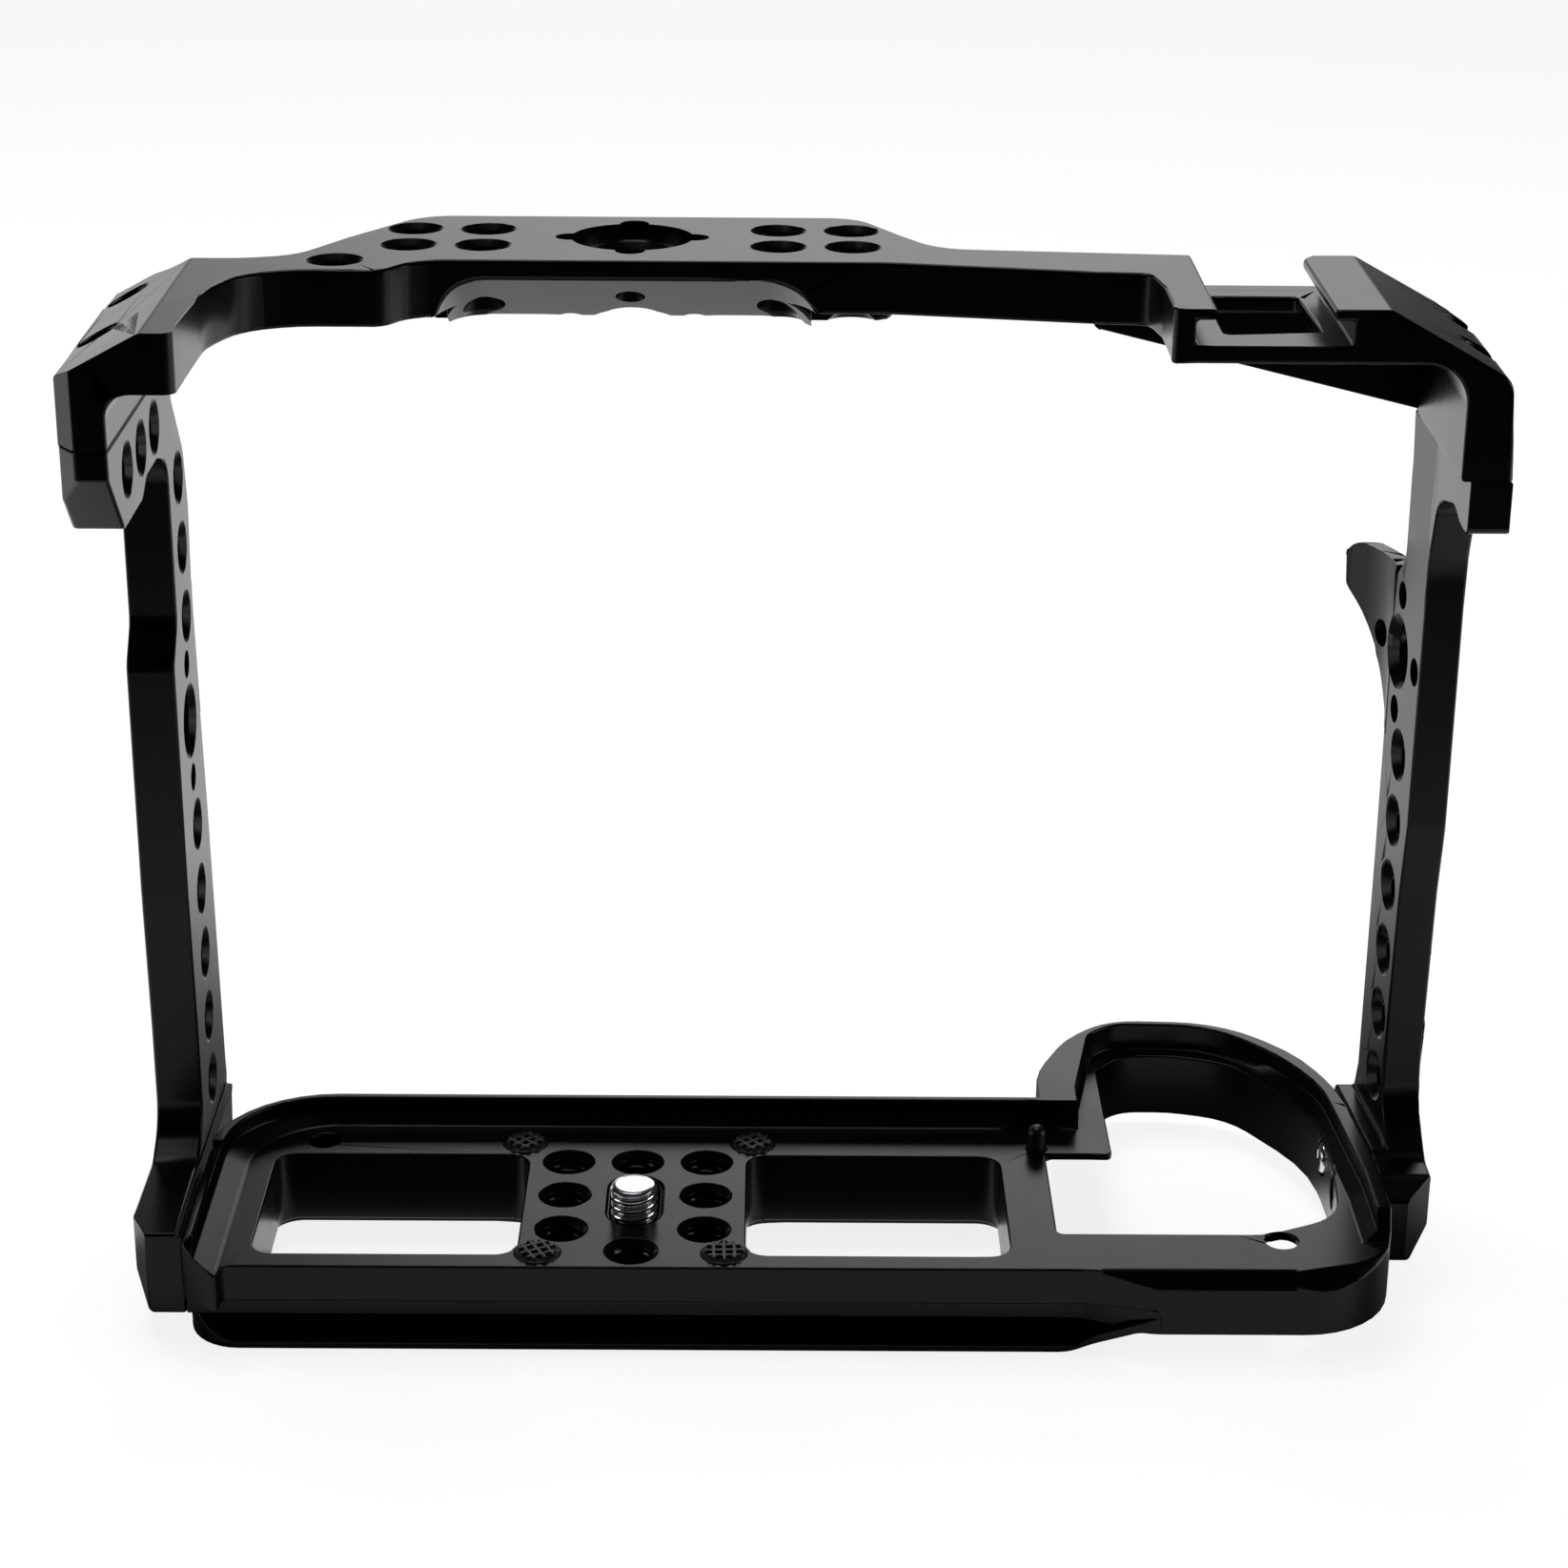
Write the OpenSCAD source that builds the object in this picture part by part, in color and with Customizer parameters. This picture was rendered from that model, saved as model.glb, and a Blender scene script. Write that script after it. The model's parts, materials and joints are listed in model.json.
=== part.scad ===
// Camera cage: a base plate, two side frames and a top plate that bolt together round a mirrorless
// camera, with tapped holes for accessories, a captive camera screw and a dovetail foot.
// Origin: centre of the base plate's hole grid, on the floor that the camera stands on.
// +X towards the grip side, +Y towards the lens, +Z up.

/* [Camera space] */
// Grid centre to the left side frame's inner face
reach_left = 59.3; // [52:0.1:75]
// Grid centre to the right side frame's inner face, behind its bend
reach_right = 102.5; // [96:0.1:125]
// Floor to the underside of the top plate
clear_height = 118; // [98:0.1:145]
// Angle by which the right side frame turns in towards the lens
right_lean = 5; // [0:0.1:6]

/* [Base plate] */
// Thickness of the floor slab
base_thickness = 8.7; // [7.5:0.1:11]
// Height of the locating lip above the floor
lip_height = 3.8; // [2.5:0.1:5]
// Width of the lip's flat top
lip_width = 1.2; // [0.8:0.1:2.5]
// Height of the slope at the foot of the lip
cove_height = 1.5; // [0.5:0.1:2]
// Floor's edge behind the hole grid
floor_rear = 19.8; // [19.8:0.1:24]
// Width of the dovetail foot
foot_width = 38; // [36:0.1:41]
// Height of the foot below the slab
foot_drop = 3.7; // [3:0.1:6]
// Thickness of the foot's edge
foot_edge = 1.1; // [0.8:0.1:2]
// Depth of the groove above the foot
groove_depth = 2.8; // [1.5:0.1:4]
// Length of each weight-saving window
window_length = 34.8; // [22:0.1:36]
// Width of each weight-saving window
window_width = 27.9; // [12:0.1:29]
// Thickness of the grip loop below the floor
loop_thickness = 9.4; // [5:0.1:11]
// Thickness of the tongue that crosses into the grip opening
tongue_thickness = 1; // [0.8:0.1:3]

/* [Side frames] */
// Thickness of the left side frame
left_thickness = 6.3; // [5:0.1:8]
// Thickness of the right side frame
right_thickness = 5.2; // [4.5:0.1:8]
// Seam of the left side frame below the top surface
left_seam_drop = 14.1; // [12:0.1:18]
// Seam of the right side frame below the top surface
right_seam_drop = 21.1; // [18:0.1:24]
// Thickness of the right side frame's curved wing
wing_thickness = 2.2; // [1.5:0.1:3]

/* [Top plate] */
// Thickness of the top plate's arms
top_thickness = 7.3; // [6:0.1:10]
// Thickness of the bridge's front
bridge_thickness = 10; // [9:0.1:14]
// Front edge of the bridge
bridge_front = 38.2; // [34:0.1:46]
// Opening between the accessory shoe's lips
shoe_opening = 14; // [12.5:0.1:14.5]
// Width of the accessory shoe's slot under the lips
shoe_slot = 19; // [18:0.1:20]
// Thickness of the shoe's lips
shoe_lip = 1.4; // [1:0.1:2]
// Depth of the shoe's floor below the top surface
shoe_depth = 4.5; // [3.5:0.1:5]

/* [Tapped holes] */
// Distance between neighbouring quarter-inch holes
hole_pitch = 9.5; // [8.6:0.1:11.4]
// Wall diameter of a tapped quarter-inch hole
quarter_bore = 5.4; // [5:0.1:5.8]
// Mouth of a quarter-inch hole's countersink
quarter_mouth = 7.2; // [6.6:0.1:8]
// Wall diameter of a tapped three-eighths hole
three_eighths_bore = 8.4; // [7.8:0.1:8.8]
// Mouth of a three-eighths hole's countersink
three_eighths_mouth = 10.2; // [9.6:0.1:11]
// Distance from a three-eighths hole to each of its pin holes
pin_circle_radius = 8; // [7.6:0.1:9]
// Diameter of a pin hole
pin_hole = 3.8; // [3:0.1:4.2]

/* [Camera screw] */
// Thread diameter of the camera screw
screw_thread = 6.35; // [6:0.01:6.6]
// Height of the thread above the floor
screw_height = 4.2; // [3:0.1:6]
// Diameter of the screw's neck
screw_neck = 5; // [4:0.1:5.4]
// Diameter of the screw's head
screw_head = 11.4; // [9:0.1:12]
// Distance that the screw slides along its slot
screw_travel = 6.6; // [3:0.1:8]
// Thickness of the friction washer
washer_thickness = 0.8; // [0.5:0.1:1.2]

/* [Pads, pin and fasteners] */
// Diameter of a rubber pad
pad_diameter = 6; // [4:0.1:7]
// Height of a pad above the floor
pad_height = 0.65; // [0.3:0.05:0.8]
// Diameter of the locating pin
locating_pin_diameter = 2.7; // [2:0.1:3.2]
// Height of the locating pin above the floor
locating_pin_height = 3.6; // [2:0.1:5]
// Thread diameter of the assembly screws
fastener_thread = 3; // [2.5:0.1:3]
// Head diameter of the assembly screws
fastener_head = 4.4; // [4:0.1:5]

/* [Hidden] */

$fn = 64;
eps = 0.01;
far = 200;
anodised = "#2b2b2d";
steel = "#c9c9cc";
rubber = "#232323";

// Levels
top_z = clear_height + top_thickness;
slab_z = -base_thickness;
foot_z = slab_z - foot_drop;
left_seam_z = top_z - left_seam_drop;
right_seam_z = top_z - right_seam_drop;

// Faces on the left and on the right
left_in = -reach_left;
left_out = left_in - left_thickness;
left_joint = left_in + 1;
right_out = reach_right + right_thickness;
right_joint = reach_right - 2;
frame_bend_y = 11;
joint_bend_y = 4;

// Base plate
foot_rear = -floor_rear;
foot_front = foot_rear + foot_width;
foot_left = left_joint;
foot_right = 57.5;
groove_top = slab_z + 3.5;
groove_end = foot_right + 11.5;
ear_reach = 3.1;
floor_front = 20;
lip_inner = floor_front + cove_height;
lip_front = lip_inner + lip_width;
corner_radius = 12;
grip_edge_y = foot_rear - 1.7;
grip_corner = 14;
grip_bevel = 1.9;
lip_end = -9.3;
lip_ramp = 3;
strip_thickness = 1.2;
grip_left = 56.3;
loop_left = grip_left - 0.4;
grip_near = -10;
grip_top = 43.8;
loop_wall = 4.3;
loop_root_thickness = 5.4;
tongue_near = 12.6;
tongue_reach = 65.6;
window_rear = -16.3;
window_inset = hole_pitch + quarter_mouth / 2 + 1.9;
window_corner = 3;
pocket_edge = 1.2;
pocket_front = 3.4;
pocket_z = foot_z + 2.3;
rear_hole_y = -15.4;
plain_hole = 4.3;
plain_places = [[-43.7, 15.6, -7], [85.8, -11.7, foot_z - 1]];

// Screws that hold the frames together
fastener_clear = fastener_thread + 0.3;
fastener_seat = fastener_head + 0.6;
head_height = 2.4;
head_seat = 4;
hole_overrun = 0.5;
shank_length = 7;
base_screw_z = -3.1;
left_base_screw_y = [-6, 12];
right_base_screw_y = [8, 17.9];
right_screw_seat = 1.7;
left_screw_seat = 3;
left_top_screw_y = [-11.2, 9.1];
right_top_screw_y = [-1, 12.3];
left_top_screw_x = left_out + left_thickness / 2;
right_top_screw_x = right_out - 2.9;
left_head_z = left_seam_z + head_seat;
right_head_z = right_seam_z + head_seat;

// Camera screw
screw_rest_y = -4.75;
slot_end_y = screw_rest_y + screw_travel;
running_gap = 0.25;
neck_slot = screw_neck + 2 * running_gap;
thread_slot = screw_thread + 2 * running_gap;
slot_mouth = thread_slot + 0.6;
shelf_top = -3.4;
shelf_bottom = -5.8;
head_pocket = screw_head + 1;
washer_gap = 0.02;
head_top = shelf_bottom - washer_thickness - 2 * washer_gap;
head_bottom = foot_z + 0.6;
thread_start = 0.2;
thread_chamfer = 0.5;
coin_slot = 1.6;
coin_slot_depth = 2;

// Pads and locating pin
pad_recess = 0.8;
pad_places = [[-12.2, -16], [12.2, -16], [-15.8, 15], [15.8, 15]];
pin_place = [55.2, 14.2];
pin_depth = 5;
pin_relief = 7.5;

// Hole columns of the left side frame
left_column_y = 17.8;
left_upper_y = 18.5;
left_upper_top = left_seam_z - 16.3;
left_cluster_y = 16.7;
left_cluster_z = left_upper_top - 2 * hole_pitch - 14.15;
left_lower_top = left_cluster_z - 15.25;
left_lower_count = floor((left_lower_top - 5) / hole_pitch) + 1;
left_row_y = -15.25;
left_row_z = left_seam_z - 5.5;

// Hole columns of the right side frame
right_column_y = 17.2;
right_cluster_y = 21;
right_cluster_z = right_seam_z - 33.3;
right_lower_top = right_cluster_z - 13.3;
right_lower_count = floor((right_lower_top - 7) / hole_pitch) + 1;
wing_top = right_seam_z - 22.2;
wing_start_y = 25.5;
wing_radius = 18;
mouth_clear = 0.6;

// Holes and slots of the top plate
bridge_rear = 11.6;
bridge_z = top_z - bridge_thickness;
block_rear = 22;
relief_block_rear = 17;
top_cluster = [-0.25, 25.5];
counterbore = 15.8;
counterbore_depth = 1.7;
top_grid_front = 29.9;
top_grid_left = [-28.6 + hole_pitch / 2, top_grid_front - hole_pitch / 2];
top_grid_right = [28.05 - hole_pitch / 2, top_grid_front - hole_pitch / 2];
top_single = [-36.95, 11.5];
relief_edge = top_z - 2.4;
relief_angle = 31;
shoe_x = 77.8;
shoe_rear = -12;
gusset_rear = 20;
gusset_thickness = 2.5;
shoe_front = 16.8;

// Corners of an outline with their own rounding: each point is [x, y, radius]
function unit(v) = v / norm(v);
function rounded_corner(before, corner, after, radius) =
    let (
        u = unit(before - corner),
        v = unit(after - corner),
        half = acos(max(-1, min(1, u * v))) / 2,
        room = 0.49 * min(norm(before - corner), norm(after - corner)),
        r = min(radius, room * tan(half)),
        centre = corner + unit(u + v) * r / sin(half),
        start = corner + u * r / tan(half) - centre,
        from = atan2(start[1], start[0]),
        turn = -sign(u[0] * v[1] - u[1] * v[0]) * (180 - 2 * half),
        steps = max(2, ceil(abs(turn) / 11))
    )
    [for (i = [0 : steps])
        let (a = from + turn * i / steps)
        centre + r * [cos(a), sin(a)]];
function rounded(points) =
    let (n = len(points))
    [for (i = [0 : n - 1])
        let (
            a = points[(i + n - 1) % n],
            b = points[i],
            c = points[(i + 1) % n]
        )
        each b[2] > 0
            ? rounded_corner([a[0], a[1]], [b[0], b[1]], [c[0], c[1]], b[2])
            : [[b[0], b[1]]]];

// Outline of (Y, Z) points seen from the side, made solid from x_low to x_high
module side_slab(points, x_low, x_high) {
    translate([x_low, 0, 0]) rotate([90, 0, 90])
        linear_extrude(x_high - x_low) polygon(rounded(points));
}

// Outline of (X, Z) points seen from the rear, made solid from y_low to y_high
module rear_slab(points, y_low, y_high) {
    translate([0, y_high, 0]) rotate([90, 0, 0])
        linear_extrude(y_high - y_low) polygon(rounded(points));
}

// Outline of (X, Y) points seen from above, made solid from z_low to z_high
module plan_slab(points, z_low, z_high) {
    translate([0, 0, z_low]) linear_extrude(z_high - z_low) polygon(rounded(points));
}

// Tapped hole along Z below a face, countersunk at its mouth
module blind_tapped(bore, mouth, z_low, z_high) {
    sink = (mouth - bore) / 2;
    translate([0, 0, z_low - eps]) cylinder(d = bore, h = z_high - z_low + 2 * eps);
    translate([0, 0, z_high - sink]) cylinder(d1 = bore, d2 = mouth + 2 * eps, h = sink + eps);
}

// Tapped hole along Z between two faces, countersunk at both
module tapped(bore, mouth, z_low, z_high) {
    sink = (mouth - bore) / 2;
    blind_tapped(bore, mouth, z_low, z_high);
    translate([0, 0, z_low - eps]) cylinder(d1 = mouth + 2 * eps, d2 = bore, h = sink + eps);
}
module quarter_tap(z_low, z_high) {
    tapped(quarter_bore, quarter_mouth, z_low, z_high);
}

// Tapped three-eighths hole along Z, with a pin hole at each angle round it
module cluster(pin_angles, z_low, z_high) {
    tapped(three_eighths_bore, three_eighths_mouth, z_low, z_high);
    for (a = pin_angles)
        rotate(a) translate([pin_circle_radius, 0, z_low - eps])
            cylinder(d = pin_hole, h = z_high - z_low + 2 * eps);
}

// Places its children at (y, z), turned so that their Z runs along +X
module along_x(y, z) {
    translate([0, y, z]) rotate([90, 0, 90]) children();
}

// Hole for a socket screw's shank along -Z: the underside of its head lies at the origin
module shank_hole() {
    translate([0, 0, -shank_length - hole_overrun])
        cylinder(d = fastener_clear, h = shank_length + 2 * hole_overrun);
}

// The same hole with a recess for the head, open over the length given
module screw_recess(access) {
    cylinder(d = fastener_seat, h = access);
    shank_hole();
}

// Socket screw along -Z: the underside of its head lies at the origin
module socket_screw() {
    hexagon = fastener_head * 0.52;
    difference() {
        union() {
            cylinder(d = fastener_head, h = head_height);
            translate([0, 0, -shank_length]) cylinder(d = fastener_thread, h = shank_length + eps);
        }
        translate([0, 0, head_height / 2]) cylinder(d = hexagon, h = head_height, $fn = 6);
    }
}

// Right-hand faces run straight back from their bend and turn in ahead of it
function turned_in(x, bend_y, y) = x - tan(right_lean) * max(0, y - bend_y);
function joint_x(y) = turned_in(right_joint, joint_bend_y, y);
function frame_x(x, y) = turned_in(x, frame_bend_y, y);

// Outline of the floor slab, up to the root of the grip loop
function slab_outline() = [
    [left_joint, foot_rear + 0.6, 2], [left_joint + 4.9, foot_rear - ear_reach, 0.4],
    [left_joint + 5.3, foot_rear, 1.6], [foot_right + 3, foot_rear, 8],
    [foot_right + 11, grip_edge_y, 8],
    [joint_x(0), grip_edge_y, grip_corner], [joint_x(0), joint_bend_y, 0], [joint_x(21), 21, 0],
    [loop_left, 21, 0], [loop_left, lip_front, 0], [left_joint, lip_front, corner_radius + 4]
];

// Outline of the grip loop, from its root in the slab
function loop_outline() = [
    [loop_left, lip_front - 3, 0], [loop_left, 30, 20], [loop_left + 5.1, 41.4, 16],
    [67.6, grip_top + loop_wall, 14], [84.4, grip_top + loop_wall - 0.6, 24],
    [joint_x(36) - 3.2, 37, 30], [joint_x(26) - 0.2, 26, 30], [joint_x(18), 18, 0],
    [joint_x(8), 8, 0], [grip_left + 6, 12, 0]
];

module base_plate() {
    color(anodised)
    difference() {
        union() {
            plan_slab(slab_outline(), slab_z, lip_height);
            plan_slab(loop_outline(), -loop_thickness, lip_height);
            dovetail_foot();
            groove_run_out();
        }
        rear_groove();
        floor_recess();
        loop_recess();
        lip_edges();
        grip_opening();
        grip_edge_bevel();
        strip_hollow();
        for (side = [-1, 1]) foot_window(side);
        for (p = grid_places) translate(p) quarter_tap(foot_z, 0);
        translate([0, rear_hole_y, 0]) blind_tapped(quarter_bore, quarter_mouth, groove_top + 0.6, 0);
        for (place = plain_places) translate(place) cylinder(d = plain_hole, h = far);
        camera_screw_slot();
        pad_seats();
        locating_pin_seat();
        left_base_taps();
        right_base_recesses();
    }
}

// Dovetail foot: wide at its lower edge, drawn in under the groove
module dovetail_foot() {
    neck_rear = foot_rear + groove_depth;
    neck_front = foot_front - groove_depth;
    edge_z = foot_z + foot_edge;
    intersection() {
        side_slab([
            [foot_rear, foot_z, 0], [foot_front, foot_z, 0], [foot_front, edge_z, 0],
            [neck_front, edge_z + groove_depth, 0], [neck_front, slab_z + 1, 0],
            [neck_rear, slab_z + 1, 0], [neck_rear, edge_z + groove_depth, 0], [foot_rear, edge_z, 0]
        ], foot_left, groove_end);
        plan_slab([
            [foot_left, foot_rear - eps, 7], [groove_end, foot_rear - eps, 0],
            [groove_end, foot_front + eps, 0], [foot_left, foot_front + eps, 7]
        ], foot_z - 1, slab_z + 2);
        rear_slab([
            [foot_left, foot_z, 0], [foot_right, foot_z, 8], [foot_right + 9, slab_z, 4],
            [groove_end, slab_z + 1, 0], [foot_left, slab_z + 1, 0]
        ], foot_rear - 1, foot_front + 1);
    }
}

// Full-width end of the foot, where the groove runs out to a point
module groove_run_out() {
    intersection() {
        plan_slab(slab_outline(), foot_z, 0);
        rear_slab([
            [groove_end, groove_top - 0.9, 0], [foot_right + 7.7, slab_z + 1, 4],
            [foot_right + 4, slab_z - 0.7, 4],
            [foot_right + 1, foot_z + 1.2, 2], [foot_right - 2.7, foot_z, 0], [foot_right, foot_z, 8],
            [foot_right + 9, slab_z, 4], [groove_end + 3, slab_z, 0], [groove_end + 3, groove_top - 0.9, 0]
        ], grip_edge_y - 1, foot_rear + 2 * groove_depth);
    }
}

// Groove between the slab's rear edge and the foot
module rear_groove() {
    difference() {
        plan_slab([
            [left_joint - 1, foot_rear - 5, 0], [groove_end, foot_rear - 5, 0],
            [groove_end, grip_edge_y, 0], [foot_right + 1.5, foot_rear + groove_depth, 5],
            [left_joint - 1, foot_rear + groove_depth, 0]
        ], slab_z - eps, groove_top);
        groove_run_out();
    }
}

// Floor inside the lip, with a slope along the foot of the lip
module floor_recess() {
    floor_left = left_in + 5.8;
    lip_left = left_in + 2.7;
    lip_corner = corner_radius + 2;
    floor_corner = corner_radius;
    rear = foot_rear - 10;
    right = loop_left + 5.5;
    hull() {
        translate([floor_left + floor_corner, floor_front - floor_corner, 0])
            cylinder(r = floor_corner, h = eps, $fn = 48);
        translate([floor_left, rear, 0]) cube([right - floor_left, 20, eps]);
        translate([0, rear, 0]) cube([right, floor_front - rear, eps]);
        translate([lip_left + lip_corner, lip_inner - lip_corner, cove_height])
            cylinder(r = lip_corner, h = lip_height, $fn = 48);
        translate([lip_left, rear, cove_height]) cube([right - lip_left, 20, lip_height]);
        translate([0, rear, cove_height]) cube([right, lip_inner - rear, lip_height]);
    }
}

// Floor inside the grip loop's lip
module loop_recess() {
    edge = lip_width + 0.8;
    slope = 2;
    left = loop_left + 5.5;
    hull() {
        plan_slab([
            [left, foot_rear - 10, 0], [joint_x(0) - edge - slope, foot_rear - 10, 0],
            [joint_x(0) - edge - slope, 0, 20], [joint_x(27) - edge - slope, 27, 30],
            [joint_x(36) - 7.4, 37, 24], [83, grip_top + 2.2, 20], [68.8, grip_top + 2.6, 8],
            [65, 43, 4], [left + 0.4, lip_inner + 4, 8], [left, floor_front, 0]
        ], 0, eps);
        plan_slab([
            [left, foot_rear - 10, 0], [joint_x(0) - edge, foot_rear - 10, 0],
            [joint_x(0) - edge, 0, 20], [joint_x(27) - edge, 27, 30],
            [joint_x(36) - 6.4, 37, 26], [83, grip_top + 2.6, 20], [68.5, grip_top + 3, 8],
            [64.6, 43.1, 4], [left, lip_inner + 4, 8]
        ], cove_height, lip_height + 1);
    }
}

// Bevels of the lip: along its left side and at both of its rear ends
module lip_edges() {
    side_bevel = 1.3;
    end_bevel = 6;
    rear_slab([
        [left_joint - 1, lip_height + 1, 0], [left_joint + side_bevel, lip_height + 1, 0],
        [left_joint + side_bevel, lip_height, 0], [left_joint, lip_height - side_bevel, 0],
        [left_joint - 1, lip_height - side_bevel, 0]
    ], foot_rear - 5, 8);
    side_slab([
        [foot_rear + 1.2, lip_height, 0], [foot_rear + 1.2 - end_bevel, lip_height - end_bevel, 0],
        [foot_rear - end_bevel, lip_height + 1, 0], [foot_rear + 1.2, lip_height + 1, 0]
    ], left_joint - 1, left_joint + 7);
    side_slab([
        [lip_end, lip_height, 0], [lip_end - lip_ramp, 0, 0], [grip_edge_y - 1, 0, 0],
        [grip_edge_y - 1, lip_height + 1, 0], [lip_end, lip_height + 1, 0]
    ], joint_x(0) - 12, joint_x(0) + 1);
}

// Opening in front of the grip, and the step that leaves the tongue thin
module grip_opening() {
    wall_x = joint_x(10) - 4;
    plan_slab([
        [grip_left, grip_near, 1], [84, grip_near, 9], [wall_x - 1.6, -5, 8], [wall_x, 12, 60],
        [joint_x(26) - 3.6, 26, 40], [85.5, 41.5, 20], [77, grip_top, 14], [69.5, grip_top, 6],
        [tongue_reach, 39, 4], [tongue_reach, tongue_near, 1], [grip_left, tongue_near, 0]
    ], foot_z - 1, lip_height + 1);
    plan_slab([
        [grip_left - 0.3, tongue_near - 2, 0], [tongue_reach + 1, tongue_near - 2, 0],
        [tongue_reach + 1, 37, 0], [62.6, 37, 3], [62.6, lip_front + 1, 3],
        [grip_left - 0.3, lip_front - 3, 2]
    ], foot_z - 1, -tongue_thickness);
    plan_slab([
        [loop_left - 1, lip_front - 4, 0], [tongue_reach + 1, lip_front - 4, 0],
        [tongue_reach + 1, 32, 0], [loop_left - 1, 32, 0]
    ], foot_z - 1, -loop_root_thickness);
}

// Bevel along the rear edge beside the grip opening, which thins out round the corner in three cuts
module grip_edge_bevel() {
    corner_x = joint_x(0) - grip_corner;
    corner_y = grip_edge_y + grip_corner;
    side_slab([
        [grip_edge_y - 1, -grip_bevel - 1, 0], [grip_edge_y + grip_bevel + 1, 1, 0],
        [grip_edge_y - 1, 1, 0]
    ], foot_right + 4, corner_x);
    for (cut = [[-75, 0.95], [-60, 0.5], [-45, 0.1]])
        translate([corner_x, corner_y, -cut[1] * grip_bevel])
            rotate([0, 0, cut[0]]) translate([grip_corner, 0, 0]) rotate([0, 45, 0])
                translate([-8, -5, 0]) cube([12, 10, 8]);
}

// Hollow under the strip between the rear edge and the grip opening
module strip_hollow() {
    plan_slab([
        [62, grip_edge_y + 4, 2], [90, grip_edge_y + 4, 6], [90, grip_near + 3, 0], [62, grip_near + 3, 0]
    ], foot_z - 1, -strip_thickness);
}

// Weight-saving window beside the hole grid
module foot_window(side) {
    low = side > 0 ? window_inset : -window_inset - window_length;
    high = low + window_length;
    front = window_rear + window_width;
    plan_slab([
        [low, window_rear, window_corner], [high, window_rear, window_corner],
        [high, front, window_corner], [low, front, window_corner]
    ], foot_z - 1, 1);
    plan_slab([
        [low - pocket_edge, window_rear - pocket_edge, window_corner + pocket_edge],
        [high + pocket_edge, window_rear - pocket_edge, window_corner + pocket_edge],
        [high + pocket_edge, front + pocket_front, window_corner + pocket_edge],
        [low - pocket_edge, front + pocket_front, window_corner + pocket_edge]
    ], foot_z - 1, pocket_z);
}

// Grid of tapped holes round the camera screw's slot
grid_places = [
    for (x = [-1, 0, 1]) for (y = [-1, 0, 1])
        if (x != 0 || y > 0) [x * hole_pitch, y * hole_pitch, 0]
];

// Slot of the captive screw: thread slot, narrow shelf for the neck and pocket for the head
module camera_screw_slot() {
    slot_piece(slot_mouth, -0.3, 1);
    slot_piece(thread_slot, shelf_top, 0);
    slot_piece(neck_slot, shelf_bottom - eps, shelf_top + eps);
    slot_piece(head_pocket, foot_z - 1, shelf_bottom);
}
module slot_piece(width, z_low, z_high) {
    for (y = [screw_rest_y, slot_end_y])
        translate([0, y, z_low]) cylinder(d = width, h = z_high - z_low);
    translate([-width / 2, screw_rest_y, z_low]) cube([width, screw_travel, z_high - z_low]);
}

// Captive camera screw: thread, neck in the shelf, and a head with a coin slot
module camera_screw() {
    color(steel)
    translate([0, screw_rest_y, 0])
    difference() {
        union() {
            translate([0, 0, thread_start])
                cylinder(d = screw_thread, h = screw_height - thread_chamfer - thread_start);
            translate([0, 0, screw_height - thread_chamfer])
                cylinder(d1 = screw_thread, d2 = screw_thread - 2 * thread_chamfer, h = thread_chamfer);
            translate([0, 0, shelf_top + running_gap])
                cylinder(d = screw_thread - 0.4, h = thread_start - shelf_top - running_gap + eps);
            translate([0, 0, head_top - eps])
                cylinder(d = screw_neck, h = shelf_top - head_top + running_gap + 2 * eps);
            translate([0, 0, head_bottom]) cylinder(d = screw_head, h = head_top - head_bottom);
        }
        translate([-screw_head, -coin_slot / 2, head_bottom - 1])
            cube([2 * screw_head, coin_slot, coin_slot_depth + 1]);
    }
}

// Friction washer between the shelf and the screw's head
module camera_screw_washer() {
    color("#6b6b6e")
    translate([0, screw_rest_y, head_top + washer_gap])
    difference() {
        cylinder(d = screw_head - 0.4, h = washer_thickness);
        translate([0, 0, -1]) cylinder(d = screw_neck + 0.1, h = 3);
    }
}

// Rubber pads in shallow seats
module pad_seats() {
    for (p = pad_places)
        translate([p[0], p[1], -pad_recess]) cylinder(d = pad_diameter + 0.3, h = 2);
}
module pad(i) {
    color(rubber)
    translate([pad_places[i][0], pad_places[i][1], -pad_recess])
        cylinder(d = pad_diameter, h = pad_recess + pad_height);
}
module pad_rear_left() { pad(0); }
module pad_rear_right() { pad(1); }
module pad_front_left() { pad(2); }
module pad_front_right() { pad(3); }

// Locating pin with a domed end, pressed into the floor, and the relief round it in the lip
module locating_pin_seat() {
    translate([pin_place[0], pin_place[1], -pin_depth]) cylinder(d = locating_pin_diameter, h = far);
    translate([pin_place[0], pin_place[1], 0]) cylinder(r = pin_relief, h = far);
}
module locating_pin() {
    radius = locating_pin_diameter / 2;
    straight = locating_pin_height - radius;
    color("#1f1f20")
    translate([pin_place[0], pin_place[1], 0]) {
        translate([0, 0, -pin_depth]) cylinder(r = radius, h = pin_depth + straight);
        translate([0, 0, straight]) sphere(r = radius);
    }
}

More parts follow.
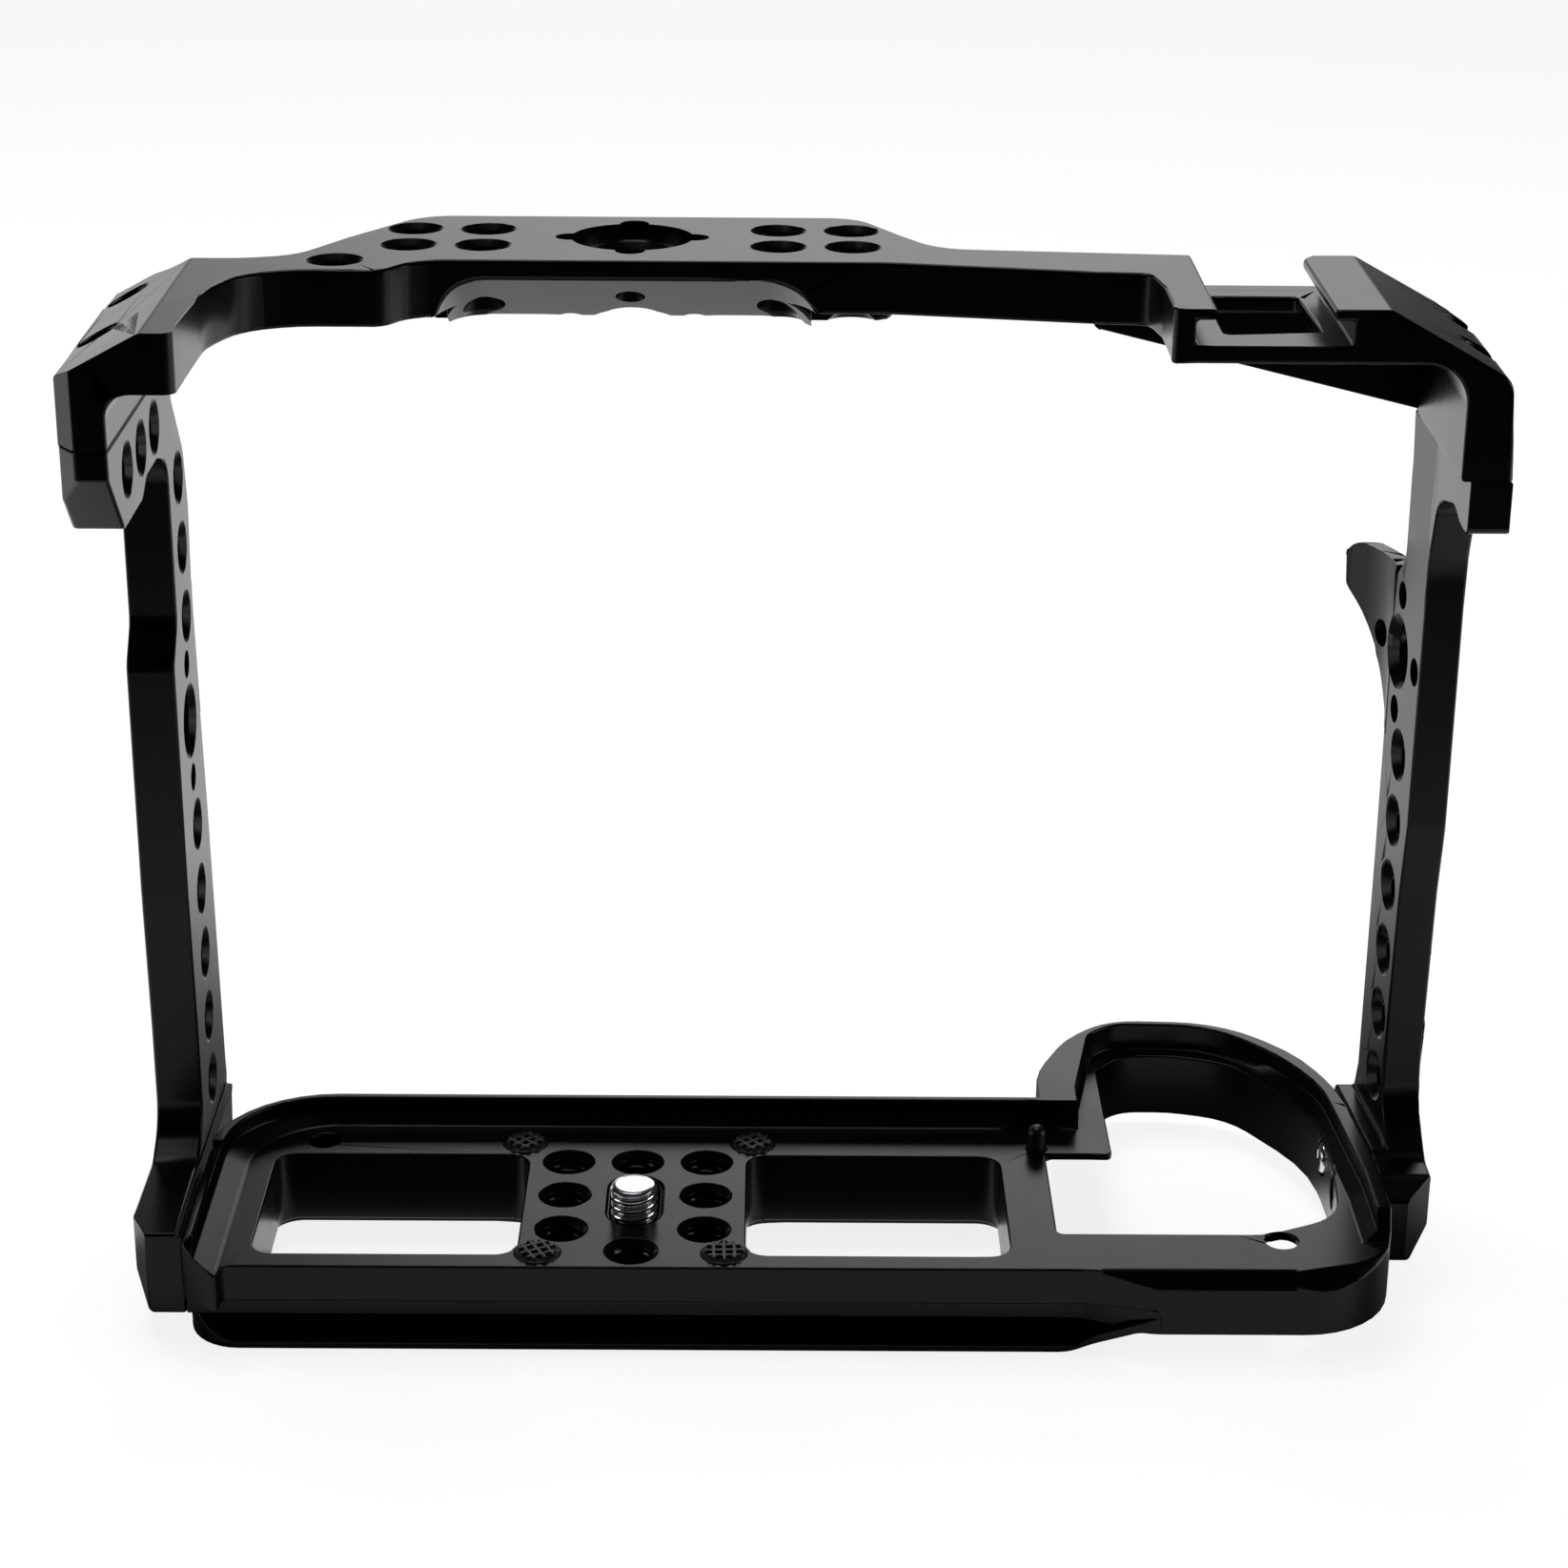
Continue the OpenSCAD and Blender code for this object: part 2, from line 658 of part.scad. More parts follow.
// Left base screws come in from the outside, right ones from inside the grip loop
module left_base_taps() {
    for (y = left_base_screw_y)
        translate([0, y, base_screw_z]) rotate([0, 90, 0])
            translate([0, 0, left_joint - 1]) cylinder(d = fastener_thread, h = 8);
}
module left_base_screw_at(y) {
    translate([left_joint - left_screw_seat, y, base_screw_z]) rotate([0, -90, 0]) children();
}
module right_base_screw_at(y) {
    translate([joint_x(y) - right_screw_seat, y, base_screw_z]) rotate([0, -90, 0]) children();
}
module right_base_recesses() {
    for (y = right_base_screw_y) right_base_screw_at(y) screw_recess(12);
}
module left_base_screws() {
    color(steel)
    for (y = left_base_screw_y) left_base_screw_at(y) socket_screw();
}
module right_base_screws() {
    color(steel)
    for (y = right_base_screw_y) right_base_screw_at(y) socket_screw();
}

// Top screws go down from the sloping shoulders into the side frames
module left_top_screw_at(y) {
    translate([left_top_screw_x, y, left_head_z]) children();
}
module right_top_screw_at(y) {
    translate([right_top_screw_x, y, right_head_z]) children();
}
module left_top_screws() {
    color(steel)
    for (y = left_top_screw_y) left_top_screw_at(y) socket_screw();
}
module right_top_screws() {
    color(steel)
    for (y = right_top_screw_y) right_top_screw_at(y) socket_screw();
}

// Left side frame: column, rear block under the seam, and foot beside the base plate
function left_side_outline() = [
    [16, left_seam_z, 0], [16.7, left_seam_z - 5, 4], [23.5, left_seam_z - 13.8, 6],
    [25, left_seam_z - 22, 8], [23.8, left_cluster_z + 14, 10], [25, left_cluster_z, 10],
    [26.5, left_cluster_z - 15, 10], [29.5, 3, 1.5], [26.8, 1.2, 2], [26, slab_z, 1.5],
    [-17, slab_z, 0], [-17, 3, 0.5], [3, 3, 4], [8.9, 6.4, 6], [8.7, 20, 10], [7.5, 40, 20],
    [7.5, left_cluster_z + 11, 3], [11.5, left_cluster_z + 15.5, 3], [11.5, left_seam_z - 12, 5],
    [5, left_seam_z - 10, 4], [-3, left_seam_z - 10, 3], [-6.5, left_seam_z - 12, 2],
    [-18.9, left_seam_z - 12, 2], [-27, left_seam_z - 3.6, 0.6], [-27, left_seam_z, 0]
];
module left_side_frame() {
    color(anodised)
    difference() {
        intersection() {
            side_slab(left_side_outline(), left_out, left_joint);
            rear_slab([
                [left_in, left_seam_z, 0], [left_out, left_seam_z, 0], [left_out, -4.7, 0],
                [left_out + 2.4, slab_z, 0], [left_joint, slab_z, 0], [left_joint, 2.4, 0],
                [left_in, 2.4, 0]
            ], -30, 40);
        }
        outer_corner_cut(-17, 5, slab_z - 1, 8);
        outer_corner_cut(-27, 3.2, left_seam_z - 20, left_seam_z + 1);
        left_tapped_holes();
        for (y = left_base_screw_y) left_base_screw_at(y) screw_recess(12);
        for (y = left_top_screw_y) left_top_screw_at(y) shank_hole();
    }
}

// Bevel on the left frame's outer corner, ending at rear edge y
module outer_corner_cut(y, length, z_low, z_high) {
    plan_slab([
        [left_out - 1, y - 1, 0], [left_out + 2.4, y - 1, 0], [left_out + 2.4, y, 0],
        [left_out, y + length, 0], [left_out - 1, y + length, 0]
    ], z_low, z_high);
}

module left_tapped_holes() {
    for (k = [0 : 2]) along_x(left_upper_y, left_upper_top - k * hole_pitch) quarter_tap(left_out, left_in);
    for (k = [0 : left_lower_count - 1])
        along_x(left_column_y, left_lower_top - k * hole_pitch) quarter_tap(left_out, left_in);
    for (k = [0 : 2]) along_x(left_row_y + k * hole_pitch, left_row_z) quarter_tap(left_out, left_in);
    along_x(left_cluster_y, left_cluster_z) cluster([90, 270], left_out, left_in);
}

// Right side frame: column that turns in, rear block under the seam, foot and curved wing
function right_side_outline() = [
    [22, right_seam_z, 0], [21, right_seam_z - 9, 6], [20.8, wing_top + 2, 4],
    [wing_start_y, wing_top - 2, 0],
    [wing_start_y, 40, 0], [26, 8, 0], [28, 2, 4], [28, slab_z, 2],
    [-2, slab_z, 1], [-2, 0.6, 1], [1.5, 2.8, 2], [6, 2.8, 4], [13.2, 7.6, 7], [12.8, 20, 10],
    [11.8, 40, 10], [10.4, 50, 10], [10.4, right_seam_z - 18, 12],
    [7, right_seam_z - 8, 6], [-2.8, right_seam_z - 5.6, 4],
    [-7, right_seam_z - 6.8, 3], [-12, right_seam_z - 6.8, 1], [-12, right_seam_z, 0]
];
module right_side_frame() {
    color(anodised)
    difference() {
        union() {
            intersection() {
                side_slab(right_side_outline(), 80, right_out + 1);
                union() {
                    right_plate(reach_right, slab_z, right_seam_z);
                    right_foot();
                }
            }
            wing();
        }
        right_foot_bevels();
        right_tapped_holes();
        for (y = right_base_screw_y) right_base_screw_at(y) shank_hole();
        for (y = right_top_screw_y) right_top_screw_at(y) shank_hole();
    }
}

// Bent plate of the right side, from an inner face at x
module right_plate(x, z_low, z_high) {
    plan_slab([
        [x, -20, 0], [right_out, -20, 0], [right_out, frame_bend_y, 0], [frame_x(right_out, 40), 40, 0],
        [frame_x(x, 40), 40, 0], [x, frame_bend_y, 0]
    ], z_low, z_high);
}

// Foot of the right side frame, against the base plate's side
module right_foot() {
    plan_slab([
        [joint_x(0), -20, 0], [right_out, -20, 0], [right_out, frame_bend_y, 0],
        [frame_x(right_out, 40), 40, 0], [joint_x(40), 40, 0], [joint_x(0), joint_bend_y, 0]
    ], slab_z, lip_height);
}

// Bevels at the outer rear corner of the right foot and along its lower outer edge
module right_foot_bevels() {
    corner = 3.6;
    lower = 2.6;
    plan_slab([
        [right_out + 1, -3, 0], [right_out + 1, -2 + corner, 0], [right_out, -2 + corner, 0],
        [right_out - corner, -2, 0], [right_out - corner, -3, 0]
    ], slab_z - 1, 8);
    rear_slab([
        [right_out + 1, slab_z - 1, 0], [right_out + 1, slab_z + 4, 0], [right_out, slab_z + 4, 0],
        [right_out - lower, slab_z, 0], [right_out - lower, slab_z - 1, 0]
    ], -3, 40);
}

// Thin wing that curves in ahead of the column
module wing() {
    inner_x = frame_x(reach_right, wing_start_y);
    intersection() {
        translate([inner_x - wing_radius, wing_start_y - 1, 0])
            difference() {
                cylinder(r = wing_radius + wing_thickness, h = far);
                translate([0, 0, -1]) cylinder(r = wing_radius, h = far + 2);
            }
        side_slab([
            [wing_start_y - 0.9, wing_top - 24, 0], [25.6, wing_top - 21, 4], [28.9, wing_top - 16, 14],
            [36.6, wing_top - 6.6, 2.4], [36.9, wing_top, 2.6], [wing_start_y - 0.9, wing_top, 0]
        ], inner_x - 8, inner_x + wing_thickness + 2);
    }
}

module right_tapped_holes() {
    low = reach_right - 3;
    for (k = [0 : right_lower_count - 1])
        along_x(right_column_y, right_lower_top - k * hole_pitch)
            right_tap(quarter_bore, quarter_mouth, right_column_y);
    along_x(right_cluster_y, right_cluster_z) {
        right_tap(three_eighths_bore, three_eighths_mouth, right_cluster_y);
        for (a = [0, 90, 180, 270])
            rotate(a) translate([pin_circle_radius, 0, low - 4]) cylinder(d = pin_hole, h = 20);
    }
}
module right_tap(bore, mouth, y) {
    low = frame_x(reach_right, y) - mouth_clear;
    high = frame_x(right_out, y) + mouth_clear;
    tapped(bore, mouth + 2 * mouth_clear, low, high);
}

// Top plate: bridge over the camera's hump, left arm, and right arm with the accessory shoe
function top_plan() = [
    [left_out, -24, 0.6], [left_out + 2.4, -27, 0.6], [-51.1, -27, 1.5], [-50.7, -6.3, 16],
    [-47.8, 2.4, 16], [-42, 5.7, 16], [-30.4, 5.7, 3], [-28, 9.6, 4], [-24.6, bridge_rear, 6],
    [32.5, bridge_rear, 20], [58, 7.2, 20], [64.6, 6.6, 2], [65.6, 0, 2], [65.6, shoe_rear, 1],
    [right_out, shoe_rear, 1],
    [right_out, frame_bend_y, 0], [right_out - 0.7, 13.3, 2], [102.5, shoe_front + 2, 3],
    [92, shoe_front + 1, 10], [71, 17.4, 14], [39, 20.2, 8], [34.4, 28, 12],
    [29, bridge_front, 6], [-28.4, bridge_front, 8],
    [-37, 24.4, 24], [-42.4, 14.2, 12], [-49, 12.4, 12], [-57, 12.4, 3], [-60, 16, 2], [left_out, 16, 0]
];
function top_profile() = [
    [left_out, left_seam_z, 0], [left_out, top_z - 5.8, 1], [left_in + 4.4, top_z, 1.5],
    [right_out - 16.2, top_z, 1.5], [right_out - 0.9, top_z - 8.6, 3], [right_out, right_seam_z, 0],
    [right_leg_x, right_seam_z, 0], [right_leg_x, clear_height + 0.6, 5], [1, clear_height + 0.6, 0],
    [0, clear_height, 0], [left_in, clear_height, 3], [left_in, left_seam_z, 0]
];
right_leg_x = reach_right - 1.2;

module top_plate() {
    color(anodised)
    difference() {
        union() {
            intersection() {
                plan_slab(top_plan(), 0, far);
                rear_slab(top_profile(), -40, 60);
            }
            bridge_front_block();
            right_gusset();
        }
        bridge_relief();
        accessory_shoe();
        top_tapped_holes();
        for (y = left_top_screw_y) left_top_screw_at(y) screw_recess(30);
        for (y = right_top_screw_y) right_top_screw_at(y) screw_recess(30);
    }
}

// Deeper front of the bridge
module bridge_front_block() {
    plan_slab([
        [-33, block_rear, 3], [-23.6, block_rear, 0], [-23.6, relief_block_rear, 0],
        [22.8, relief_block_rear, 0], [22.8, block_rear, 0],
        [33.4, block_rear, 3], [33.4, 27, 3], [28.4, bridge_front, 4],
        [-28, bridge_front, 4], [-34, 27, 3]
    ], bridge_z, clear_height + 1);
}

// Relief under the bridge that opens a clear view of the camera's screen hump
module bridge_relief() {
    length = 40;
    translate([0, bridge_rear, relief_edge])
        rotate([-relief_angle, 0, 0])
            rear_slab([
                [-25.4, -20, 0], [-24.6, -4, 5], [-22.6, -1, 5], [-19.4, 0, 8],
                [17.8, 0, 8], [21.4, -1.2, 8], [23.8, -4, 5], [24.6, -20, 0]
            ], -10, length);
}

// Web ahead of the right arm, from the bridge down to the seam
module right_gusset() {
    front = gusset_rear + gusset_thickness;
    rim_top = clear_height + 2.2;
    inner_x = frame_x(reach_right, gusset_rear);
    outer_x = frame_x(right_out, gusset_rear);
    rear_slab([
        [57, rim_top, 2], [59.4, top_z - 10.3, 1],
        [inner_x, right_seam_z + 0.4, 0], [inner_x, right_seam_z, 0],
        [outer_x, right_seam_z, 0], [outer_x, rim_top - 8, 3], [98, rim_top, 2]
    ], gusset_rear, front);
    plan_slab([
        [57, bridge_rear, 0], [98, bridge_rear, 0], [98, front, 0], [57, front, 2]
    ], clear_height + 0.6, rim_top);
    plan_slab([
        [frame_x(reach_right, 14), 14, 0], [frame_x(right_out, 14), 14, 0],
        [outer_x, front, 1], [inner_x, front, 0]
    ], right_seam_z, rim_top - 8);
}

// Accessory shoe: slot with lips, open at the rear, with a window in its floor
module accessory_shoe() {
    floor_z = top_z - shoe_depth;
    length = shoe_front - shoe_rear + 2;
    translate([shoe_x - shoe_slot / 2, shoe_rear - 1, floor_z])
        cube([shoe_slot, length, shoe_depth - shoe_lip]);
    plan_slab([
        [shoe_x - shoe_opening / 2, shoe_rear - 1, 0], [shoe_x + shoe_opening / 2, shoe_rear - 1, 0],
        [shoe_x + shoe_opening / 2, shoe_front - 1, 2], [shoe_x + shoe_opening / 2 + 2, shoe_front + 2, 0],
        [shoe_x - shoe_opening / 2, shoe_front + 2, 0]
    ], floor_z, top_z + 1);
    plan_slab([
        [shoe_x - 5.2, shoe_rear + 6, 1], [shoe_x + 6.8, shoe_rear + 7.6, 1],
        [shoe_x + 6.2, shoe_front - 3.2, 1], [shoe_x - 5.2, shoe_front - 3.2, 1]
    ], clear_height - 4, floor_z + 1);
}

module top_tapped_holes() {
    for (grid = [top_grid_left, top_grid_right])
        for (i = [-0.5, 0.5]) for (j = [-0.5, 0.5])
            translate([grid[0] + i * hole_pitch, grid[1] + j * hole_pitch, 0])
                quarter_tap(bridge_z, top_z);
    translate([top_single[0], top_single[1], 0]) quarter_tap(clear_height, top_z);
    translate([top_cluster[0], top_cluster[1], 0]) {
        cluster([0, 90, 180, 270], bridge_z, top_z - counterbore_depth);
        for (a = [0, 90, 180, 270])
            rotate(a) translate([pin_circle_radius, 0, bridge_z]) cylinder(d = pin_hole, h = far);
        translate([0, 0, top_z - counterbore_depth]) cylinder(d = counterbore, h = far);
    }
}

base_plate();
left_side_frame();
right_side_frame();
top_plate();
camera_screw();
camera_screw_washer();
locating_pin();
pad_rear_left();
pad_rear_right();
pad_front_left();
pad_front_right();
left_base_screws();
right_base_screws();
left_top_screws();
right_top_screws();
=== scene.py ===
"""Looks of the camera cage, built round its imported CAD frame. Metres, in the row frame: X to the grip
side, Y towards the lens, Z up. The four milled frames get broken edges and real threads in their tapped
holes; the screws, pads, pin and washer are built again in full detail."""

import itertools
import json
import math

import bmesh
import bpy
from mathutils import Matrix, Vector
from mathutils.bvhtree import BVHTree
from mathutils.kdtree import KDTree

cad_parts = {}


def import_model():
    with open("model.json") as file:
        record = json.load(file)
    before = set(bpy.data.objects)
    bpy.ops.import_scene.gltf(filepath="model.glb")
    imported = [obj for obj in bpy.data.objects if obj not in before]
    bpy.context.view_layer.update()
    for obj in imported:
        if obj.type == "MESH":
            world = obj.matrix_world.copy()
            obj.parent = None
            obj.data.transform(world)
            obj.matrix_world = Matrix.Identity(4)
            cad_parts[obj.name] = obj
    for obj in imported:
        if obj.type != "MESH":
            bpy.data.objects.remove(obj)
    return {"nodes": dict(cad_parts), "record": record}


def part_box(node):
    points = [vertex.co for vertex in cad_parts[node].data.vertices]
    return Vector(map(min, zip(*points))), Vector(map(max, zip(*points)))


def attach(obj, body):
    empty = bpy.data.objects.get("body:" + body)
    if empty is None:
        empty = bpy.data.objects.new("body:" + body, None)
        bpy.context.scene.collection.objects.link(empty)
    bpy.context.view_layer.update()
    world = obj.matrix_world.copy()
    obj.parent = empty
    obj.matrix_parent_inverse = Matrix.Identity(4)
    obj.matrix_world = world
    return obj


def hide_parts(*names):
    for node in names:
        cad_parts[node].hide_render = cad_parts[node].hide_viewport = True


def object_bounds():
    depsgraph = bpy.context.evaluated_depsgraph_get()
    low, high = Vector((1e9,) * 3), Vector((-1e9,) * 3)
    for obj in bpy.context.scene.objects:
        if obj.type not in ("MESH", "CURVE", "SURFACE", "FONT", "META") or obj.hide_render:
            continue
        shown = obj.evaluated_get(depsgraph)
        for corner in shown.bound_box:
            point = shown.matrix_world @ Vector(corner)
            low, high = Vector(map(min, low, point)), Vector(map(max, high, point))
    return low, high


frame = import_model()
cad_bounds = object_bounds()

MM = 0.001
TURN = 2 * math.pi
ROW_AXES = [Vector(v) for v in ((1, 0, 0), (0, 1, 0), (0, 0, 1))]

# Corners closer than this are one, in metres, and edges flatter than this are none
WELD = 0.002 * MM
FLAT_EDGE = math.radians(0.8)

# Threads, in millimetres; a hole's wall shorter than the last has none
QUARTER_PITCH = 1.27
THREE_EIGHTHS_PITCH = 1.5875
QUARTER_CREST = 0.32
THREE_EIGHTHS_CREST = 0.42
THINNEST_THREAD = 1.5

# Smallest radius of a tapped hole, and of a three-eighths hole among them, in millimetres
TAPPED_FROM = 2.5
THREE_EIGHTHS_FROM = 3.5

# How far along its axis a hole's wall is looked for, how far its corners lie off it, and how far the CAD
# surface may where the wall is whole, in millimetres
WALL_REACH = 16
CORNER_OFF = 0.02
WALL_OFF = 0.05

# Width of the bevel on a tapped hole's rim, and how far from the hole's wall the rim lies, in millimetres
RIM_BEVEL = 0.1
RIM_REACH = 1.15

# Edges within so many radii of a three-eighths hole's axis, or of a pad's, have no bevel
THREE_EIGHTHS_CRISP = 2.5
PAD_CRISP = 1.2
PAD_RADIUS = 3.2

# Sharp edges longer than the first get a short piece at each end, as long as the second, in millimetres
LONG_EDGE = 7
END_PIECE = 2

# Shares of a bevel's width: it may leave the CAD surface by the first, and a face nearer to it than the
# second lies on it
BEVEL_OFF = 0.4
FACE_OFF = 0.15

# Cosines: faces above the first are one flat region, above the second they shade as one surface, a face
# below the third to the CAD surface is tilted, and one below the last doesn't count in a corner's normal
FLAT_DOT = math.cos(math.radians(0.6))
SMOOTH_DOT = math.cos(math.radians(38))
TILTED_DOT = math.cos(math.radians(20))
COUNTED_DOT = 0.1

# Bevel width of each milled frame, in millimetres
EDGE_BREAKS = {"base_plate": 0.3, "left_side_frame": 0.45, "right_side_frame": 0.45, "top_plate": 0.5}

# Degrees by which the ribs of each pad are turned
PAD_TURNS = {"pad_rear_left": 28, "pad_rear_right": 2, "pad_front_left": 47, "pad_front_right": 38}

# Assembly screws, in millimetres, and the number of ridges of their knurl
SHANK_RADIUS = 1.5
SHANK_PITCH = 0.5
HEAD_HEIGHT = 2.4
KNURL_DEPTH = 0.035
KNURLS = 60

# Sockets of a Mix node that mixes colours
MIX_A, MIX_B, MIX_RESULT = 6, 7, 2

# How much of the white that the camera sees on the table is its own glow
FLOOR_LIFT = 0.84

# Radiance of the painted pools of light that the cage's reflections see on the table, and of the dark
# studio
PAINTED_POOL_GLOW = 1.1
DARK_LEVEL = 0.02

# The table lies this much under the cage, in metres
TABLE_GAP = 0.00002

# Camera: focal length and width of its picture in pixels, width of its sensor in millimetres
FOCAL_PIXELS = 3622.598
PICTURE_PIXELS = 1645
SENSOR_WIDTH = 36


def srgb(code):
    """Hex colour to linear RGBA."""
    parts = [int(code[i : i + 2], 16) / 255 for i in (1, 3, 5)]
    return [c / 12.92 if c <= 0.04045 else ((c + 0.055) / 1.055) ** 2.4 for c in parts] + [1.0]


# ---------------------------------------------------------------- materials


def add(tree, kind, inputs=(), **settings):
    """Adds a shader node. Inputs hold values or the output sockets that feed them."""
    node = tree.nodes.new(kind)
    for key, value in settings.items():
        setattr(node, key, value)
    for key, value in dict(inputs).items():
        if isinstance(value, bpy.types.NodeSocket):
            tree.links.new(value, node.inputs[key])
        else:
            node.inputs[key].default_value = value
    return node


def material(name):
    """A material with an empty tree, and the output node of that tree."""
    made = bpy.data.materials.new(name)
    made.use_nodes = True
    made.node_tree.nodes.clear()
    return made, made.node_tree, made.node_tree.nodes.new("ShaderNodeOutputMaterial")


def per_mm(size):
    """Scale of a pattern whose features are that many millimetres across."""
    return 1 / (size * MM)


def surface(name, colour, second, metallic, rough, grain_mm, grain_depth_mm, cloud_mm=9.0, level=0.5):
    """A finish with a fine grain in its surface and a faint cloud in its tone and gloss."""
    made, tree, output = material(name)
    place = add(tree, "ShaderNodeTexCoord").outputs["Object"]
    cloud = add(tree, "ShaderNodeTexNoise", {"Vector": place, "Scale": per_mm(cloud_mm), "Detail": 3.0})
    grain = add(tree, "ShaderNodeTexNoise", {"Vector": place, "Scale": per_mm(grain_mm), "Detail": 2.0})
    tone = add(tree, "ShaderNodeMix", {0: cloud.outputs["Fac"], MIX_A: srgb(colour), MIX_B: srgb(second)},
               data_type="RGBA")
    gloss = add(tree, "ShaderNodeMapRange",
                {"Value": cloud.outputs["Fac"], "To Min": rough[0], "To Max": rough[1]})
    bump = add(tree, "ShaderNodeBump",
               {"Height": grain.outputs["Fac"], "Distance": grain_depth_mm * MM, "Strength": 1.0})
    shader = add(tree, "ShaderNodeBsdfPrincipled", {
        "Base Color": tone.outputs[MIX_RESULT],
        "Metallic": metallic,
        "Roughness": gloss.outputs["Result"],
        "Specular IOR Level": level,
        "Normal": bump.outputs["Normal"],
    })
    tree.links.new(shader.outputs["BSDF"], output.inputs["Surface"])
    return made


# Bead-blasted, black anodised aluminium: a dark oxide skin with a soft, slightly grainy sheen
anodised = surface("black_anodised_aluminium", "#040405", "#060606", 0.0, (0.24, 0.3), 0.14, 0.002,
                   level=0.15)
# Threads are cut before anodising: the same black, a little glossier on their flanks
tapped = surface("black_anodised_thread", "#050506", "#09090a", 0.0, (0.2, 0.26), 0.3, 0.002,
                 level=0.35)
# Polished stainless steel: bright, with soft marks of turning and handling
steel = surface("polished_stainless_steel", "#d4d5d8", "#c2c4c9", 1.0, (0.14, 0.22), 0.25, 0.0008)
# Black oxide steel: near black with a low sheen
oxide = surface("black_oxide_steel", "#141416", "#1c1c1e", 0.35, (0.3, 0.42), 0.12, 0.002)
# Moulded black rubber: deep black walls, a soft sheen on its ribs
rubber = surface("moulded_black_rubber", "#040404", "#080808", 0.0, (0.4, 0.5), 0.2, 0.006, 2.5,
                 level=0.35)
# Smooth grey nylon: waxy, half gloss
nylon = surface("grey_nylon", "#7d7d80", "#8b8b8d", 0.0, (0.4, 0.5), 0.35, 0.003, 3.0)


# ---------------------------------------------------------------- pieces


def finished(made, finish, body):
    """Gives a piece its finish, and lets it ride on a CAD body."""
    for polygon in made.data.polygons:
        polygon.use_smooth = True
        polygon.material_index = 0
    made.data.materials.clear()
    made.data.materials.append(finish)
    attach(made, body)
    return made


def piece(name, bm, finish, body):
    """Turns a bmesh into a shown piece."""
    mesh = bpy.data.meshes.new(name)
    bmesh.ops.recalc_face_normals(bm, faces=bm.faces)
    bm.to_mesh(mesh)
    bm.free()
    made = bpy.data.objects.new(name, mesh)
    bpy.context.scene.collection.objects.link(made)
    return finished(made, finish, body)


def modifier(made, kind, **settings):
    added = made.modifiers.new(kind.lower(), kind)
    for key, value in settings.items():
        setattr(added, key, value)
    return added


def mark_sharp(bm, degrees):
    for edge in bm.edges:
        if len(edge.link_faces) == 2:
            edge.smooth = edge.calc_face_angle(0) < math.radians(degrees)


def on_circle(radius, angle, height):
    """Place in metres, from a radius and a height in mm."""
    return radius * math.cos(angle) * MM, radius * math.sin(angle) * MM, height * MM


def lathe(rings, segments=48, closed=False):
    """Turned body. Each ring is a function of the angle that gives (radius, height) in mm; closed joins
    the last ring to the first, otherwise both ends are capped."""
    bm = bmesh.new()
    rows = []
    for profile in rings:
        row = []
        for k in range(segments):
            angle = TURN * k / segments
            radius, height = profile(angle)
            row.append(bm.verts.new(on_circle(radius, angle, height)))
        rows.append(row)
    pairs = list(zip(rows, rows[1:])) + ([(rows[-1], rows[0])] if closed else [])
    for low, high in pairs:
        for k in range(segments):
            n = (k + 1) % segments
            bm.faces.new((low[k], low[n], high[n], high[k]))
    if not closed:
        bm.faces.new(rows[0][::-1])
        bm.faces.new(rows[-1])
    return bm


def ring(radius, height):
    """A round ring for lathe."""
    return lambda angle: (radius, height)


def placed(bm, origin, axis):
    """Moves a turned body so that its own Z runs along axis from origin."""
    turn = Vector(axis).to_track_quat("Z", "Y").to_matrix().to_4x4()
    bm.transform(Matrix.Translation(origin) @ turn)
    return bm


def upright(bm, centre):
    """Moves a turned body sideways, so that it stands round centre."""
    bm.transform(Matrix.Translation((centre.x, centre.y, 0)))


def round_box(node):
    """Centre of an upright round CAD node, and its radius, bottom and top in mm."""
    low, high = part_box(node)
    return (low + high) / 2, (high.x - low.x) / 2 / MM, low.z / MM, high.z / MM


def cad_copy(node):
    """A CAD node as a bmesh without doubled corners."""
    bm = bmesh.new()
    bm.from_mesh(frame["nodes"][node].data)
    bmesh.ops.remove_doubles(bm, verts=bm.verts, dist=WELD)
    return bm


def sharp_edges(bm, degrees=25):
    return [e for e in bm.edges if len(e.link_faces) == 2 and e.calc_face_angle(0) > math.radians(degrees)]


def joined(parts):
    """Several bmeshes as one."""
    whole = bmesh.new()
    for part in parts:
        mesh = bpy.data.meshes.new("part")
        part.to_mesh(mesh)
        part.free()
        whole.from_mesh(mesh)
        bpy.data.meshes.remove(mesh)
    return whole


# ---------------------------------------------------------------- tapped holes


def cad_skin(node):
    """Surface of a CAD node, to find the nearest place on it."""
    cad = frame["nodes"][node].data
    return BVHTree.FromPolygons([v.co for v in cad.vertices], [p.vertices for p in cad.polygons])


def hole_places():
    """Every tapped hole that the record's mounts state: (point, axis, radius in mm)."""
    found = {}
    for mount in frame["record"]["mounts"]:
        dims = mount["dims"]
        radius = dims.get("hole_r_mm") or dims.get("r_mm")
        if mount["kind"] not in ("bolt_pattern", "threaded_hole") or radius < TAPPED_FROM:
            continue
        axis = Vector(mount["axis"]).normalized()
        first, second = [v for v in ROW_AXES if abs(axis.dot(v)) < 0.5]
        for i in (-0.5, 0.5):
            for j in (-0.5, 0.5):
                along_first = first * i * dims.get("spacing_x_mm", 0) * MM
                along_second = second * j * dims.get("spacing_y_mm", 0) * MM
                point = Vector(mount["pos_m"]) + (along_first + along_second)
                flat = point - axis * point.dot(axis)
                key = tuple(round(c * 1e4) for c in (*flat, *axis))
                found[key] = (point, axis, radius)
    return list(found.values())


HOLES = hole_places()


